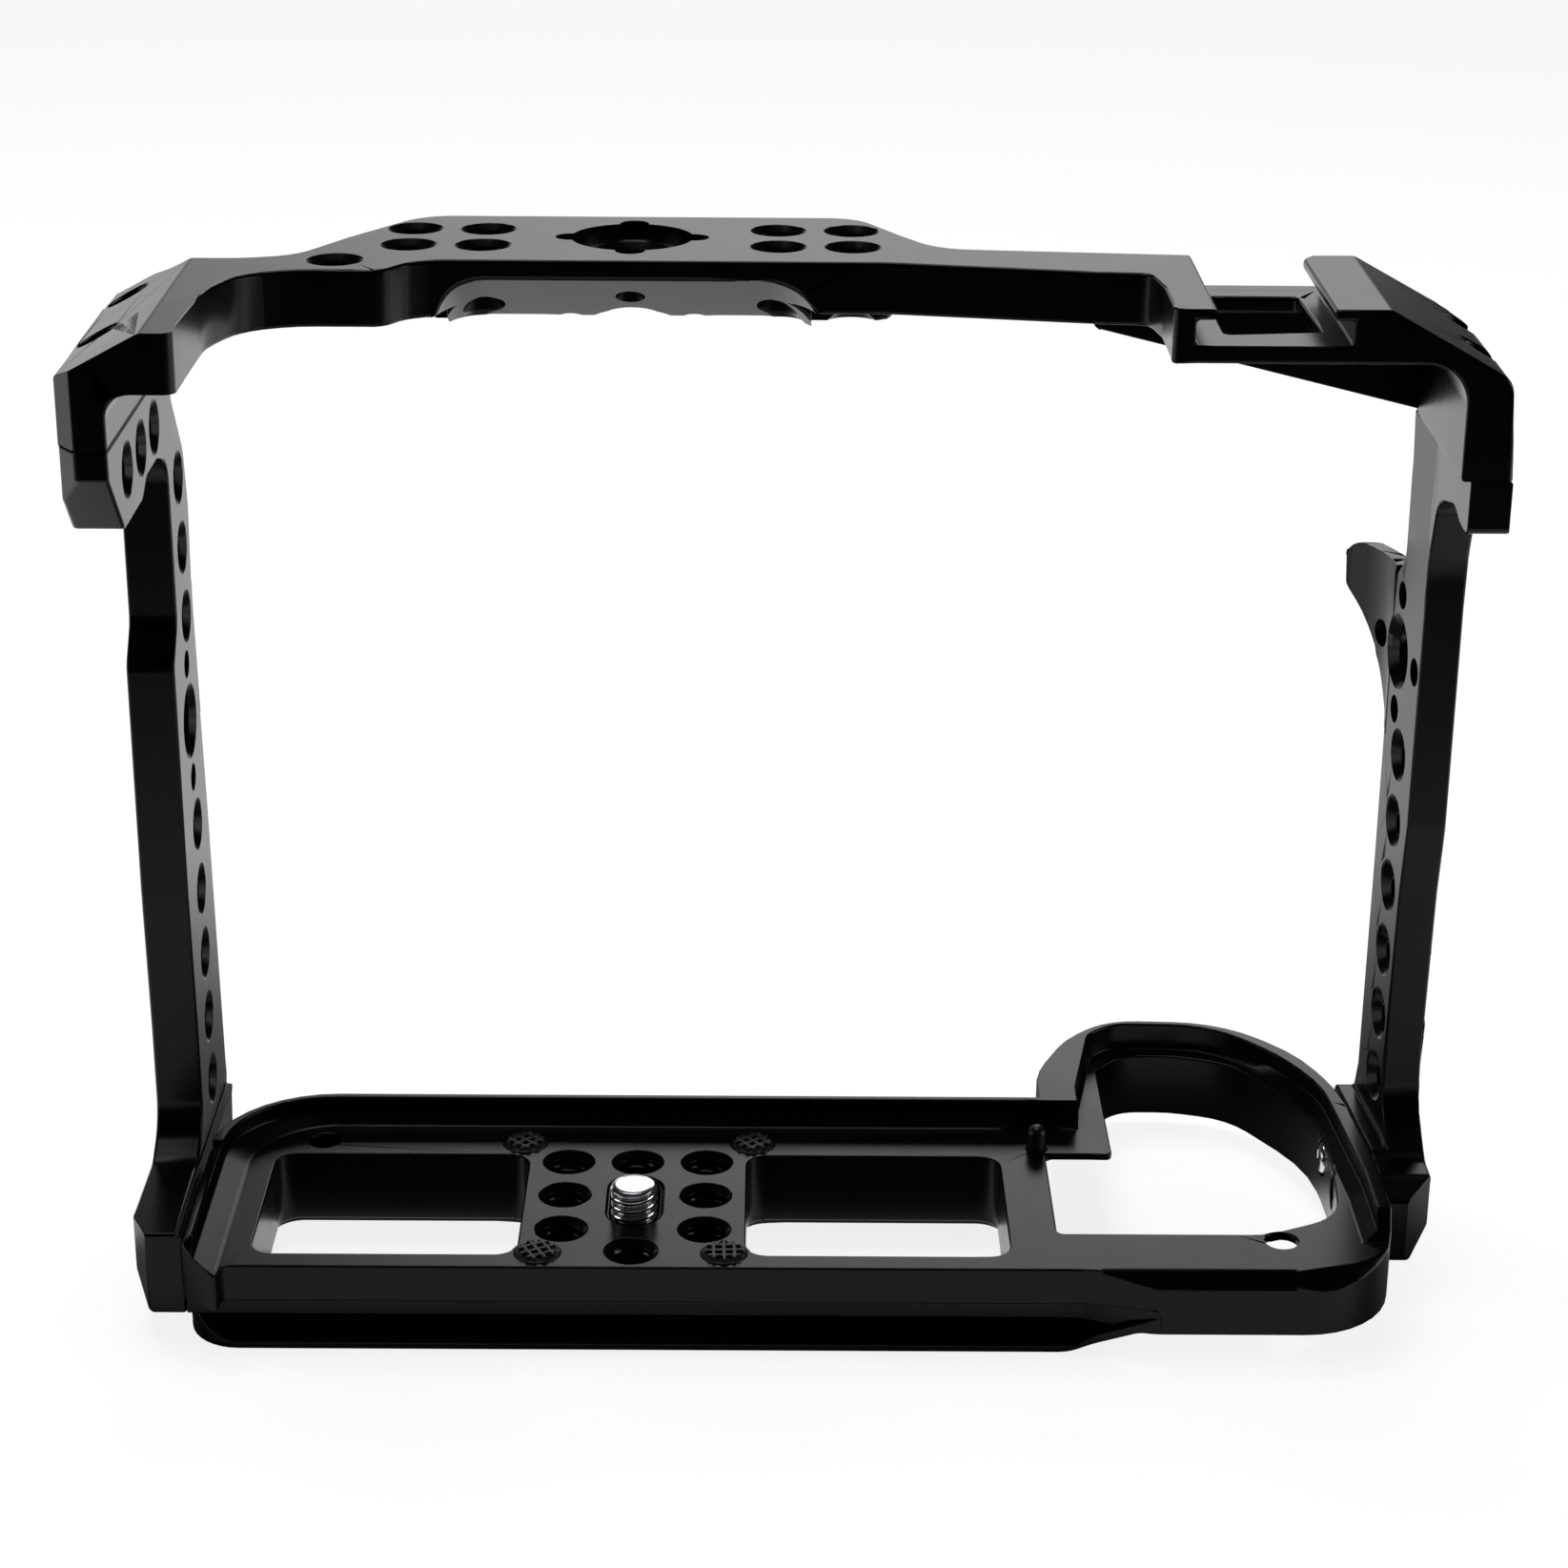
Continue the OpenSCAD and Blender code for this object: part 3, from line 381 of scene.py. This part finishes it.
def crisp_places():
    """Where holes cut into each other, round a three-eighths hole and its pin holes, or beside a pad's
    seat: (point, axis, reach in mm)."""
    found = [(point, axis, radius * THREE_EIGHTHS_CRISP)
             for point, axis, radius in HOLES if radius > THREE_EIGHTHS_FROM]
    for node in PAD_TURNS:
        found.append((sum(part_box(node), Vector()) / 2, Vector((0, 0, 1)), PAD_RADIUS * PAD_CRISP))
    return found


CRISP = crisp_places()


def off_axis(co, point, axis):
    """Distance from the axis through point."""
    away = co - point
    return (away - axis * away.dot(axis)).length


def wall_span(mesh, skin, point, axis, radius):
    """Lowest and highest height along the axis, in mm, between which the hole's wall is whole."""
    heights = set()
    for vertex in mesh.vertices:
        height = (vertex.co - point).dot(axis)
        off_wall = abs(off_axis(vertex.co, point, axis) - radius * MM)
        if abs(height) < WALL_REACH * MM and off_wall < CORNER_OFF * MM:
            heights.add(round(height / MM, 2))
    turn = axis.to_track_quat("Z", "Y").to_matrix()

    def whole(low, high):
        places = [Vector((radius * math.cos(a), radius * math.sin(a), (low + high) / 2))
                  for a in (TURN * k / 16 for k in range(16))]
        return all(skin.find_nearest(point + turn @ place * MM)[3] < WALL_OFF * MM for place in places)

    best, run = (0, 0), None
    for low, high in itertools.pairwise(sorted(heights)):
        run = (run[0] if run else low, high) if whole(low, high) else None
        if run and run[1] - run[0] > best[1] - best[0]:
            best = run
    return best


def thread_ridge(radius, low, high, pitch, depth, segments=36):
    """Helical ridge on the inside of a hole: root, crest, crest, root."""
    bm = bmesh.new()
    # Share of the pitch, and mm outside the hole's radius
    profile = ((0.02, 0.03), (0.38, -depth), (0.62, -depth), (0.98, 0.03))
    steps = int((high - low - pitch) / pitch * segments)
    last = None
    for k in range(steps + 1):
        angle = TURN * k / segments
        start = low + pitch * k / segments
        row = [bm.verts.new(on_circle(radius + out, angle, start + share * pitch))
               for share, out in profile]
        if last:
            for a, b, c, d in zip(last, last[1:], row[1:], row):
                bm.faces.new((a, b, c, d))
        else:
            bm.faces.new(row)
        last = row
    bm.faces.new(last[::-1])
    return bm


def threads(node):
    """Ridges in all the tapped holes of one milled frame."""
    mesh = frame["nodes"][node].data
    skin = cad_skin(node)
    ridges = []
    for point, axis, radius in HOLES:
        low, high = wall_span(mesh, skin, point, axis, radius)
        if high - low < THINNEST_THREAD:
            continue
        pitch, depth = QUARTER_PITCH, QUARTER_CREST
        if radius > THREE_EIGHTHS_FROM:
            pitch, depth = THREE_EIGHTHS_PITCH, THREE_EIGHTHS_CREST
        ridges.append(placed(thread_ridge(radius, low, high, pitch, depth), point, axis))
    made = piece(node + "_threads", joined(ridges), tapped, "cage")
    print(made.name, len(ridges), "threads")


# ---------------------------------------------------------------- milled frames


def near_hole(co):
    """True on the rim or wall of a tapped hole."""
    return any(off_axis(co, point, axis) < (radius + RIM_REACH) * MM for point, axis, radius in HOLES)


def crisp(edge):
    """True where a bevel would fold."""
    return any(all(off_axis(v.co, point, axis) < reach * MM for v in edge.verts)
               for point, axis, reach in CRISP)


def clean_copy(node):
    """The CAD node without needless edges. Long sharp edges get a short piece at each end, and flat faces
    are triangles, so that a tight corner narrows the bevel only beside itself."""
    bm = cad_copy(node)
    bmesh.ops.dissolve_limit(bm, angle_limit=FLAT_EDGE, verts=bm.verts, edges=bm.edges)
    for edge in [e for e in sharp_edges(bm) if e.calc_length() > LONG_EDGE * MM]:
        start, end = edge.verts
        _, middle = bmesh.utils.edge_split(edge, start, END_PIECE * MM / edge.calc_length())
        rest = next(e for e in middle.link_edges if e.other_vert(middle) is end)
        bmesh.utils.edge_split(rest, end, END_PIECE * MM / rest.calc_length())
    bmesh.ops.triangulate(bm, faces=bm.faces[:])
    return bm


def set_normals(mesh, skin, width):
    """Corner normals that keep flat faces flat. A face that lies on the CAD surface, skin, but is tilted
    because one corner is off it, takes the CAD normal. At each corner the faces joined by smooth edges
    share one normal, in which a face counts by the area of the flat region that it belongs to."""
    bm = bmesh.new()
    bm.from_mesh(mesh)
    bmesh.ops.remove_doubles(bm, verts=bm.verts, dist=WELD)
    bmesh.ops.dissolve_degenerate(bm, edges=bm.edges, dist=WELD)
    bm.normal_update()
    facing = {}
    for face in bm.faces:
        _, cad_normal, _, away = skin.find_nearest(face.calc_center_median())
        tilted = face.normal.dot(cad_normal) < TILTED_DOT and away < FACE_OFF * width * MM
        facing[face] = cad_normal if tilted else face.normal.copy()
    region = {}
    for seed in bm.faces:
        if seed in region:
            continue
        stack, group = [seed], []
        region[seed] = 0
        while stack:
            face = stack.pop()
            group.append(face)
            for edge in face.edges:
                for other in edge.link_faces:
                    if other not in region and facing[other].dot(facing[seed]) > FLAT_DOT:
                        region[other] = 0
                        stack.append(other)
        area = sum(face.calc_area() for face in group) / MM ** 2
        for face in group:
            region[face] = (area, facing[seed])
    normals = []
    for face in bm.faces:
        for corner in face.loops:
            stack, smooth = [face], [face]
            while stack:
                this = stack.pop()
                for edge in corner.vert.link_edges:
                    if this in edge.link_faces and len(edge.link_faces) == 2:
                        other = next(f for f in edge.link_faces if f is not this)
                        if other not in smooth and facing[this].dot(facing[other]) > SMOOTH_DOT:
                            smooth.append(other)
                            stack.append(other)
            total = Vector()
            for other in smooth:
                area, normal = region[other]
                if facing[face].dot(normal) > COUNTED_DOT:
                    total += normal * area ** 2
            normals.append(total.normalized() if total.length > 0 else facing[face])
    bm.to_mesh(mesh)
    bm.free()
    for polygon in mesh.polygons:
        polygon.use_smooth = True
    mesh.normals_split_custom_set(normals)


def milled(node, width):
    """A CAD frame with its edges broken by width mm. Where the bevel would leave the CAD surface, at
    corners too tight for it, it is narrowed until it doesn't."""
    skin = cad_skin(node)
    bm = clean_copy(node)
    bm.verts.ensure_lookup_table()
    corners = KDTree(len(bm.verts))
    for vertex in bm.verts:
        corners.insert(vertex.co, vertex.index)
    corners.balance()
    weight = bm.edges.layers.float.new("bevel_weight_edge")
    for edge in sharp_edges(bm):
        if crisp(edge):
            edge[weight] = 0
        elif all(near_hole(vertex.co) for vertex in edge.verts):
            edge[weight] = RIM_BEVEL / width
        else:
            edge[weight] = 1
    mesh = bpy.data.meshes.new(node + "_milled")
    made = bpy.data.objects.new(node + "_milled", mesh)
    bpy.context.scene.collection.objects.link(made)
    bevel = modifier(made, "BEVEL", width=width * MM, segments=3, limit_method="WEIGHT",
                     use_clamp_overlap=False)
    for attempt in range(8):
        bm.to_mesh(mesh)
        mesh.update()
        shape = made.evaluated_get(bpy.context.evaluated_depsgraph_get()).to_mesh()
        bad = {v.index for v in shape.vertices if skin.find_nearest(v.co)[3] > BEVEL_OFF * width * MM}
        if not bad:
            break
        places = [shape.vertices[i].co.copy() for i in bad]
        for edge in shape.edges:
            for this, other in (edge.vertices, reversed(edge.vertices)):
                if this in bad and other not in bad:
                    places.append(shape.vertices[other].co.copy())
        near = {i for place in places for _, i, _ in corners.find_range(place, (1.5 * width + 0.1) * MM)}
        for edge in {e for i in near for e in bm.verts[i].link_edges}:
            edge[weight] = edge[weight] / 2 if edge[weight] > 0.02 else 0
    shape = bpy.data.meshes.new_from_object(made.evaluated_get(bpy.context.evaluated_depsgraph_get()))
    made.modifiers.remove(bevel)
    bm.free()
    made.data = shape
    bpy.data.meshes.remove(mesh)
    low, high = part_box(node)
    for vertex in shape.vertices:
        vertex.co = [min(max(c, least), most) for c, least, most in zip(vertex.co, low, high)]
    finished(made, anodised, "cage")
    set_normals(shape, skin, width)
    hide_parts(node)
    print(made.name, "bevel fits after", attempt, "rounds")


for node, width in EDGE_BREAKS.items():
    milled(node, width)
for node in EDGE_BREAKS:
    threads(node)


# ---------------------------------------------------------------- screws, pin, pads and washer


def hexagon(apothem, height):
    """Ring in the shape of a hexagon socket."""
    sixth = TURN / 6
    return lambda angle: (apothem / math.cos((angle + sixth / 2) % sixth - sixth / 2), height)


def solids(node):
    """Bounding boxes of the separate solids in a CAD node."""
    bm = cad_copy(node)
    seen, boxes = set(), []
    for seed in bm.verts:
        if seed in seen:
            continue
        seen.add(seed)
        stack, group = [seed], []
        while stack:
            vertex = stack.pop()
            group.append(vertex.co.copy())
            for edge in vertex.link_edges:
                other = edge.other_vert(vertex)
                if other not in seen:
                    seen.add(other)
                    stack.append(other)
        boxes.append([Vector(f(c[i] for c in group) for i in range(3)) for f in (min, max)])
    bm.free()
    return boxes


def socket_screw(head, length):
    """Socket head screw with its tip at height 0: threaded shank, knurled head, hexagon socket."""
    shank, top = SHANK_RADIUS, length + HEAD_HEIGHT

    def knurled(inset, height):
        return lambda angle: (head - inset - KNURL_DEPTH * (1 - abs(math.sin(KNURLS / 2 * angle))), height)

    rings = [ring(shank * 0.6, 0), ring(shank, 0.35)]
    for k in range(int((length - 1.1) / SHANK_PITCH)):
        crest = SHANK_PITCH * (k + 1)
        rings += [ring(shank, crest), ring(shank - 0.22, crest + SHANK_PITCH / 2)]
    rings += [
        ring(shank, length - 0.4), ring(shank, length), ring(head - 0.12, length),
        knurled(0.03, length + 0.12), knurled(0, length + 0.3), knurled(0, top - 0.55),
        ring(head - 0.06, top - 0.4), ring(head - 0.3, top - 0.08), ring(head - 0.45, top),
        hexagon(1.12, top), hexagon(1.0, top - 0.12), hexagon(1.0, top - 1.25),
        ring(0.5, top - 1.45), ring(0.05, top - 1.6),
    ]
    return lathe(rings, 120)


def socket_screws(node, axis):
    """The screws of one CAD node; their heads point along axis."""
    axis = Vector(axis)
    across = [i for i in range(3) if abs(axis[i]) < 0.5]
    along = 3 - sum(across)
    parts = []
    for low, high in solids(node):
        size = (high - low) / MM
        origin = (low + high) / 2
        origin[along] = low[along] if axis[along] > 0 else high[along]
        screw = socket_screw(size[across[0]] / 2, size[along] - HEAD_HEIGHT)
        parts.append(placed(screw, origin, axis))
    bm = joined(parts)
    mark_sharp(bm, 35)
    made = piece(node + "_turned", bm, steel, "cage")
    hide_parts(node)


socket_screws("left_base_screws", (-1, 0, 0))
socket_screws("right_base_screws", (-1, 0, 0))
socket_screws("left_top_screws", (0, 0, 1))
socket_screws("right_top_screws", (0, 0, 1))


def camera_screw():
    """Captive screw: head and neck follow the CAD solid, the thread is cut as a real helix."""
    centre, _, _, top = round_box("camera_screw")
    neck_top = -3.15
    major, minor, flat = 3.175, 2.6, 2.75
    bm = cad_copy("camera_screw")
    bmesh.ops.dissolve_limit(bm, angle_limit=FLAT_EDGE, verts=bm.verts, edges=bm.edges)
    bmesh.ops.bisect_plane(bm, geom=bm.verts[:] + bm.edges[:] + bm.faces[:],
                           plane_co=(0, 0, (neck_top - 0.05) * MM), plane_no=(0, 0, 1), clear_outer=True)
    bmesh.ops.holes_fill(bm, edges=[e for e in bm.edges if e.is_boundary])
    bmesh.ops.bevel(bm, geom=sharp_edges(bm, 35), offset=0.25 * MM, segments=3, profile=0.5,
                    affect="EDGES", clamp_overlap=True)
    mark_sharp(bm, 40)
    head = piece("camera_screw_head", bm, steel, "screw")
    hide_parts("camera_screw")

    def wall(height):
        """Ring of the thread: rounded turns, a cone at the tip and one at the neck."""
        def at(angle):
            across = ((height / QUARTER_PITCH - angle / TURN) % 1 - 0.5) / 0.42
            radius = minor + (major - minor) * math.sqrt(max(0.0, 1 - across * across))
            tip = flat + (top - height) * 0.95
            neck = 2.3 + (height - neck_top) * 1.2
            return min(radius, tip, neck), height
        return at

    count = 120
    rings = [wall(neck_top + (top - 0.06 - neck_top) * k / count) for k in range(count + 1)]
    rings += [ring(flat - 0.05, top), ring(flat - 0.6, top), ring(0.6, top - 0.01)]
    bm = lathe(rings, 96)
    upright(bm, centre)
    mark_sharp(bm, 50)
    piece("camera_screw_thread", bm, steel, "screw")


camera_screw()


def washer():
    """Flat friction washer with rounded edges."""
    centre, outer, bottom, top = round_box("camera_screw_washer")
    inner, edge = 2.55, 0.15
    rings = [
        ring(inner, bottom + edge), ring(inner + edge, bottom),
        ring(outer - edge, bottom), ring(outer, bottom + edge),
        ring(outer, top - edge), ring(outer - edge, top),
        ring(inner + edge, top), ring(inner, top - edge),
    ]
    bm = lathe(rings, 72, closed=True)
    upright(bm, centre)
    mark_sharp(bm, 50)
    made = piece("camera_screw_washer_turned", bm, nylon, "washer")
    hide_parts("camera_screw_washer")


washer()


def locating_pin():
    """Pin with a round top."""
    centre, radius, bottom, top = round_box("locating_pin")
    straight = top - radius
    rings = [ring(radius - 0.2, bottom), ring(radius, bottom + 0.2), ring(radius, 0.1)]
    rings += [ring(radius, straight)]
    rings += [ring(radius * math.cos(a), straight + radius * math.sin(a))
              for a in (math.radians(9 * k) for k in range(1, 10))]
    bm = lathe(rings, 48)
    upright(bm, centre)
    mark_sharp(bm, 50)
    made = piece("locating_pin_turned", bm, oxide, "cage")
    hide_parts("locating_pin")


locating_pin()


def pad(node, degrees):
    """Rubber pad with a grid of raised ribs on its face, turned by that many degrees."""
    centre, radius, bottom, top = round_box(node)
    face, rib_pitch, rib_width, rib_flank, rib_reach = top - 0.5, 1.35, 0.4, 0.12, radius - 0.5
    c, s = math.cos(math.radians(degrees)), math.sin(math.radians(degrees))

    def height(x, y):
        """Height of the face: the nearest rib rises smoothly over its flank."""
        u, v = c * x + s * y, c * y - s * x
        off = min(abs((u / rib_pitch + 0.5) % 1 - 0.5), abs((v / rib_pitch + 0.5) % 1 - 0.5)) * rib_pitch
        rise = max(0.0, min(1.0, (rib_width / 2 + rib_flank - off) / rib_flank))
        return face + (top - face) * rise * rise * (3 - 2 * rise)

    def grid(r):
        return lambda angle: (r, height(r * math.cos(angle), r * math.sin(angle)))

    rings = [ring(radius, bottom), ring(radius, face - 0.1), ring(radius - 0.08, face)]
    rings += [ring(rib_reach + 0.06, face)]
    rings += [grid(rib_reach * k / 34) for k in range(34, 0, -1)]
    bm = lathe(rings, 160)
    upright(bm, centre)
    mark_sharp(bm, 60)
    made = piece(node + "_moulded", bm, rubber, "cage")
    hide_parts(node)


for node, degrees in PAD_TURNS.items():
    pad(node, degrees)


# ---------------------------------------------------------------- stage, light and camera

floor_z = cad_bounds[0].z


def add_map(tree, value, low, high, most=1.0):
    """Smooth ramp: 0 at low and beyond, most at high and beyond."""
    ramp = {"Value": value, "From Min": low, "From Max": high, "To Min": 0.0, "To Max": most}
    return add(tree, "ShaderNodeMapRange", ramp, interpolation_type="SMOOTHSTEP").outputs["Result"]


def add_math(tree, operation, value, *others):
    """Math node of one value, or a chain of them that works through several."""
    if not others:
        return add(tree, "ShaderNodeMath", {0: value}, operation=operation).outputs[0]
    for other in others:
        value = add(tree, "ShaderNodeMath", {0: value, 1: other}, operation=operation).outputs[0]
    return value


def add_band(tree, value, rise, fall, most=1.0):
    """A band with two soft edges: a ramp up to most times a ramp down."""
    return add_math(tree, "MULTIPLY", add_map(tree, value, *rise, most), add_map(tree, value, *fall))


def floor():
    """Pale studio table, lifted to white for the camera. The cage's shadow stays on it. Glossy surfaces
    see pools of light painted on it as a glow: behind the cage, a strip where light would fall through the
    windows, on the camera's side, and beside both ends of the cage. The rest is dark to them."""
    bm = bmesh.new()
    corners = ((-1.2, -0.4), (1.2, -0.4), (1.2, 1.3), (-1.2, 1.3))
    bm.faces.new([bm.verts.new((x, y, 0)) for x, y in corners])
    mesh = bpy.data.meshes.new("studio_table")
    bm.to_mesh(mesh)
    bm.free()
    made = bpy.data.objects.new("studio_table", mesh)
    made.location = (0, 0, floor_z - TABLE_GAP)
    bpy.context.scene.collection.objects.link(made)
    paint, tree, output = material("studio_table")
    rays = add(tree, "ShaderNodeLightPath").outputs
    place = add(tree, "ShaderNodeTexCoord").outputs["Object"]
    axes = add(tree, "ShaderNodeSeparateXYZ", {0: place}).outputs
    x, y = axes["X"], axes["Y"]
    # Distance from the cage, 1 at the edge of an ellipse round it
    ellipse = {"Vector": place, "Location": (-0.2, 0, 0), "Scale": (9, 14, 1)}
    spread = add(tree, "ShaderNodeMapping", ellipse)
    around = add(tree, "ShaderNodeVectorMath", {0: spread.outputs[0]}, operation="LENGTH").outputs["Value"]
    # Pools of light painted on the table as glow, seen only by glossy rays: behind, window strip, ahead,
    # beside
    behind = add_math(tree, "MULTIPLY", add_map(tree, around, 1.0, 2.4), add_map(tree, y, -0.06, 0.06))
    # A strip of painted light where light would fall through the windows
    through = add_band(tree, y, (0.003, 0.008), (0.03, 0.02), 0.9)
    ahead = add_band(tree, y, (-0.25, -0.12), (-0.018, -0.03), 0.8)
    sideways = add_math(tree, "ABSOLUTE", add_math(tree, "SUBTRACT", x, 0.02))
    beside = add_math(tree, "MULTIPLY", add_map(tree, sideways, 0.1, 0.13, 1.8),
                      add_band(tree, y, (-0.14, -0.06), (0.16, 0.08)))
    painted_light_pools = add_math(tree, "MAXIMUM", behind, through, ahead, beside)
    # Glossy and transmission rays see the painted pools of light as glow
    painted_reflection = add_math(tree, "MAXIMUM", rays["Is Glossy Ray"], rays["Is Transmission Ray"])
    painted_reflection = add_math(tree, "MULTIPLY", painted_reflection, painted_light_pools, PAINTED_POOL_GLOW)
    seen = add_math(tree, "MULTIPLY", rays["Is Camera Ray"], FLOOR_LIFT)
    strength = add_math(tree, "ADD", seen, painted_reflection)
    matt = add(tree, "ShaderNodeBsdfDiffuse", {"Color": srgb("#b4b4b4")})
    glow = add(tree, "ShaderNodeEmission", {"Color": (1, 1, 1, 1), "Strength": strength})
    both = add(tree, "ShaderNodeAddShader", {0: matt.outputs[0], 1: glow.outputs[0]})
    tree.links.new(both.outputs[0], output.inputs["Surface"])
    mesh.materials.append(paint)


floor()

# Lit parts of the studio: azimuth from and to, elevation from and to, softness of both, all in degrees,
# and radiance
PANELS = (
    (-14, 15, -12, 20, 3, 3, 1.0),
    (-8, 18, 17, 31, 3.5, 2, 3.4),
    (-60, -14, -14, 9, 4, 4, 1.3),
)


def world():
    """Studio surround: white to the camera. Panels behind the cage light its flat tops, and the rest is
    dark."""
    made = bpy.data.worlds.new("studio")
    made.use_nodes = True
    tree = made.node_tree
    tree.nodes.clear()
    place = add(tree, "ShaderNodeTexCoord").outputs["Generated"]
    way = add(tree, "ShaderNodeSeparateXYZ", {0: place}).outputs
    azimuth = add_math(tree, "DEGREES", add_math(tree, "ARCTAN2", way["X"], way["Y"]))
    elevation = add_math(tree, "DEGREES", add_math(tree, "ARCSINE", way["Z"]))
    light = add(tree, "ShaderNodeLightPath").outputs["Is Camera Ray"]
    for left, right, low, high, side, edge, level in PANELS:
        wide = add_band(tree, azimuth, (left - side, left + side), (right + side, right - side), level)
        tall = add_band(tree, elevation, (low - edge, low + edge), (high + edge, high - edge))
        light = add_math(tree, "MAXIMUM", light, add_math(tree, "MULTIPLY", wide, tall))
    light = add_math(tree, "MAXIMUM", light, DARK_LEVEL)
    back = add(tree, "ShaderNodeBackground", {"Color": (1, 1, 1, 1), "Strength": light})
    add(tree, "ShaderNodeOutputWorld", {"Surface": back.outputs[0]})
    bpy.context.scene.world = made


world()


def softbox(name, place, target, size, power):
    """Rectangular light that points at target."""
    data = bpy.data.lights.new(name, "AREA")
    data.shape, data.size, data.size_y, data.energy = "RECTANGLE", size[0], size[1], power
    made = bpy.data.objects.new(name, data)
    made.location = place
    made.rotation_euler = (Vector(target) - Vector(place)).to_track_quat("-Z", "Y").to_euler()
    bpy.context.scene.collection.objects.link(made)


softbox("top_softbox", (-0.1, 0.3, 1.1), (0.0, 0.0, 0.0), (0.6, 0.6), 4.0)
softbox("left_softbox", (-0.85, -0.05, 0.2), (0.0, 0.0, 0.05), (0.5, 0.3), 1.4)
softbox("right_softbox", (0.85, -0.05, 0.2), (0.0, 0.0, 0.05), (0.5, 0.3), 1.8)


def camera():
    """Stands behind the cage and looks down on it."""
    place = Vector((0.0177221, -0.4142273, 0.2219467))
    pitch, yaw, roll = (math.radians(a) for a in (21.38206, 0.27070, 0.42692))
    ahead = Vector((math.sin(yaw) * math.cos(pitch), math.cos(yaw) * math.cos(pitch), -math.sin(pitch)))
    level = Vector((math.cos(yaw), -math.sin(yaw), 0))
    upright = level.cross(ahead)
    right = math.cos(roll) * level + math.sin(roll) * upright
    up = -math.sin(roll) * level + math.cos(roll) * upright
    data = bpy.data.cameras.new("camera")
    data.sensor_width = SENSOR_WIDTH
    data.lens = FOCAL_PIXELS / PICTURE_PIXELS * SENSOR_WIDTH
    data.clip_start, data.clip_end = 0.01, 50
    made = bpy.data.objects.new("camera", data)
    made.matrix_world = Matrix((
        (right.x, up.x, -ahead.x, place.x),
        (right.y, up.y, -ahead.y, place.y),
        (right.z, up.z, -ahead.z, place.z),
        (0, 0, 0, 1),
    ))
    bpy.context.scene.collection.objects.link(made)
    bpy.context.scene.camera = made


camera()
bpy.context.scene.view_settings.view_transform = "Standard"
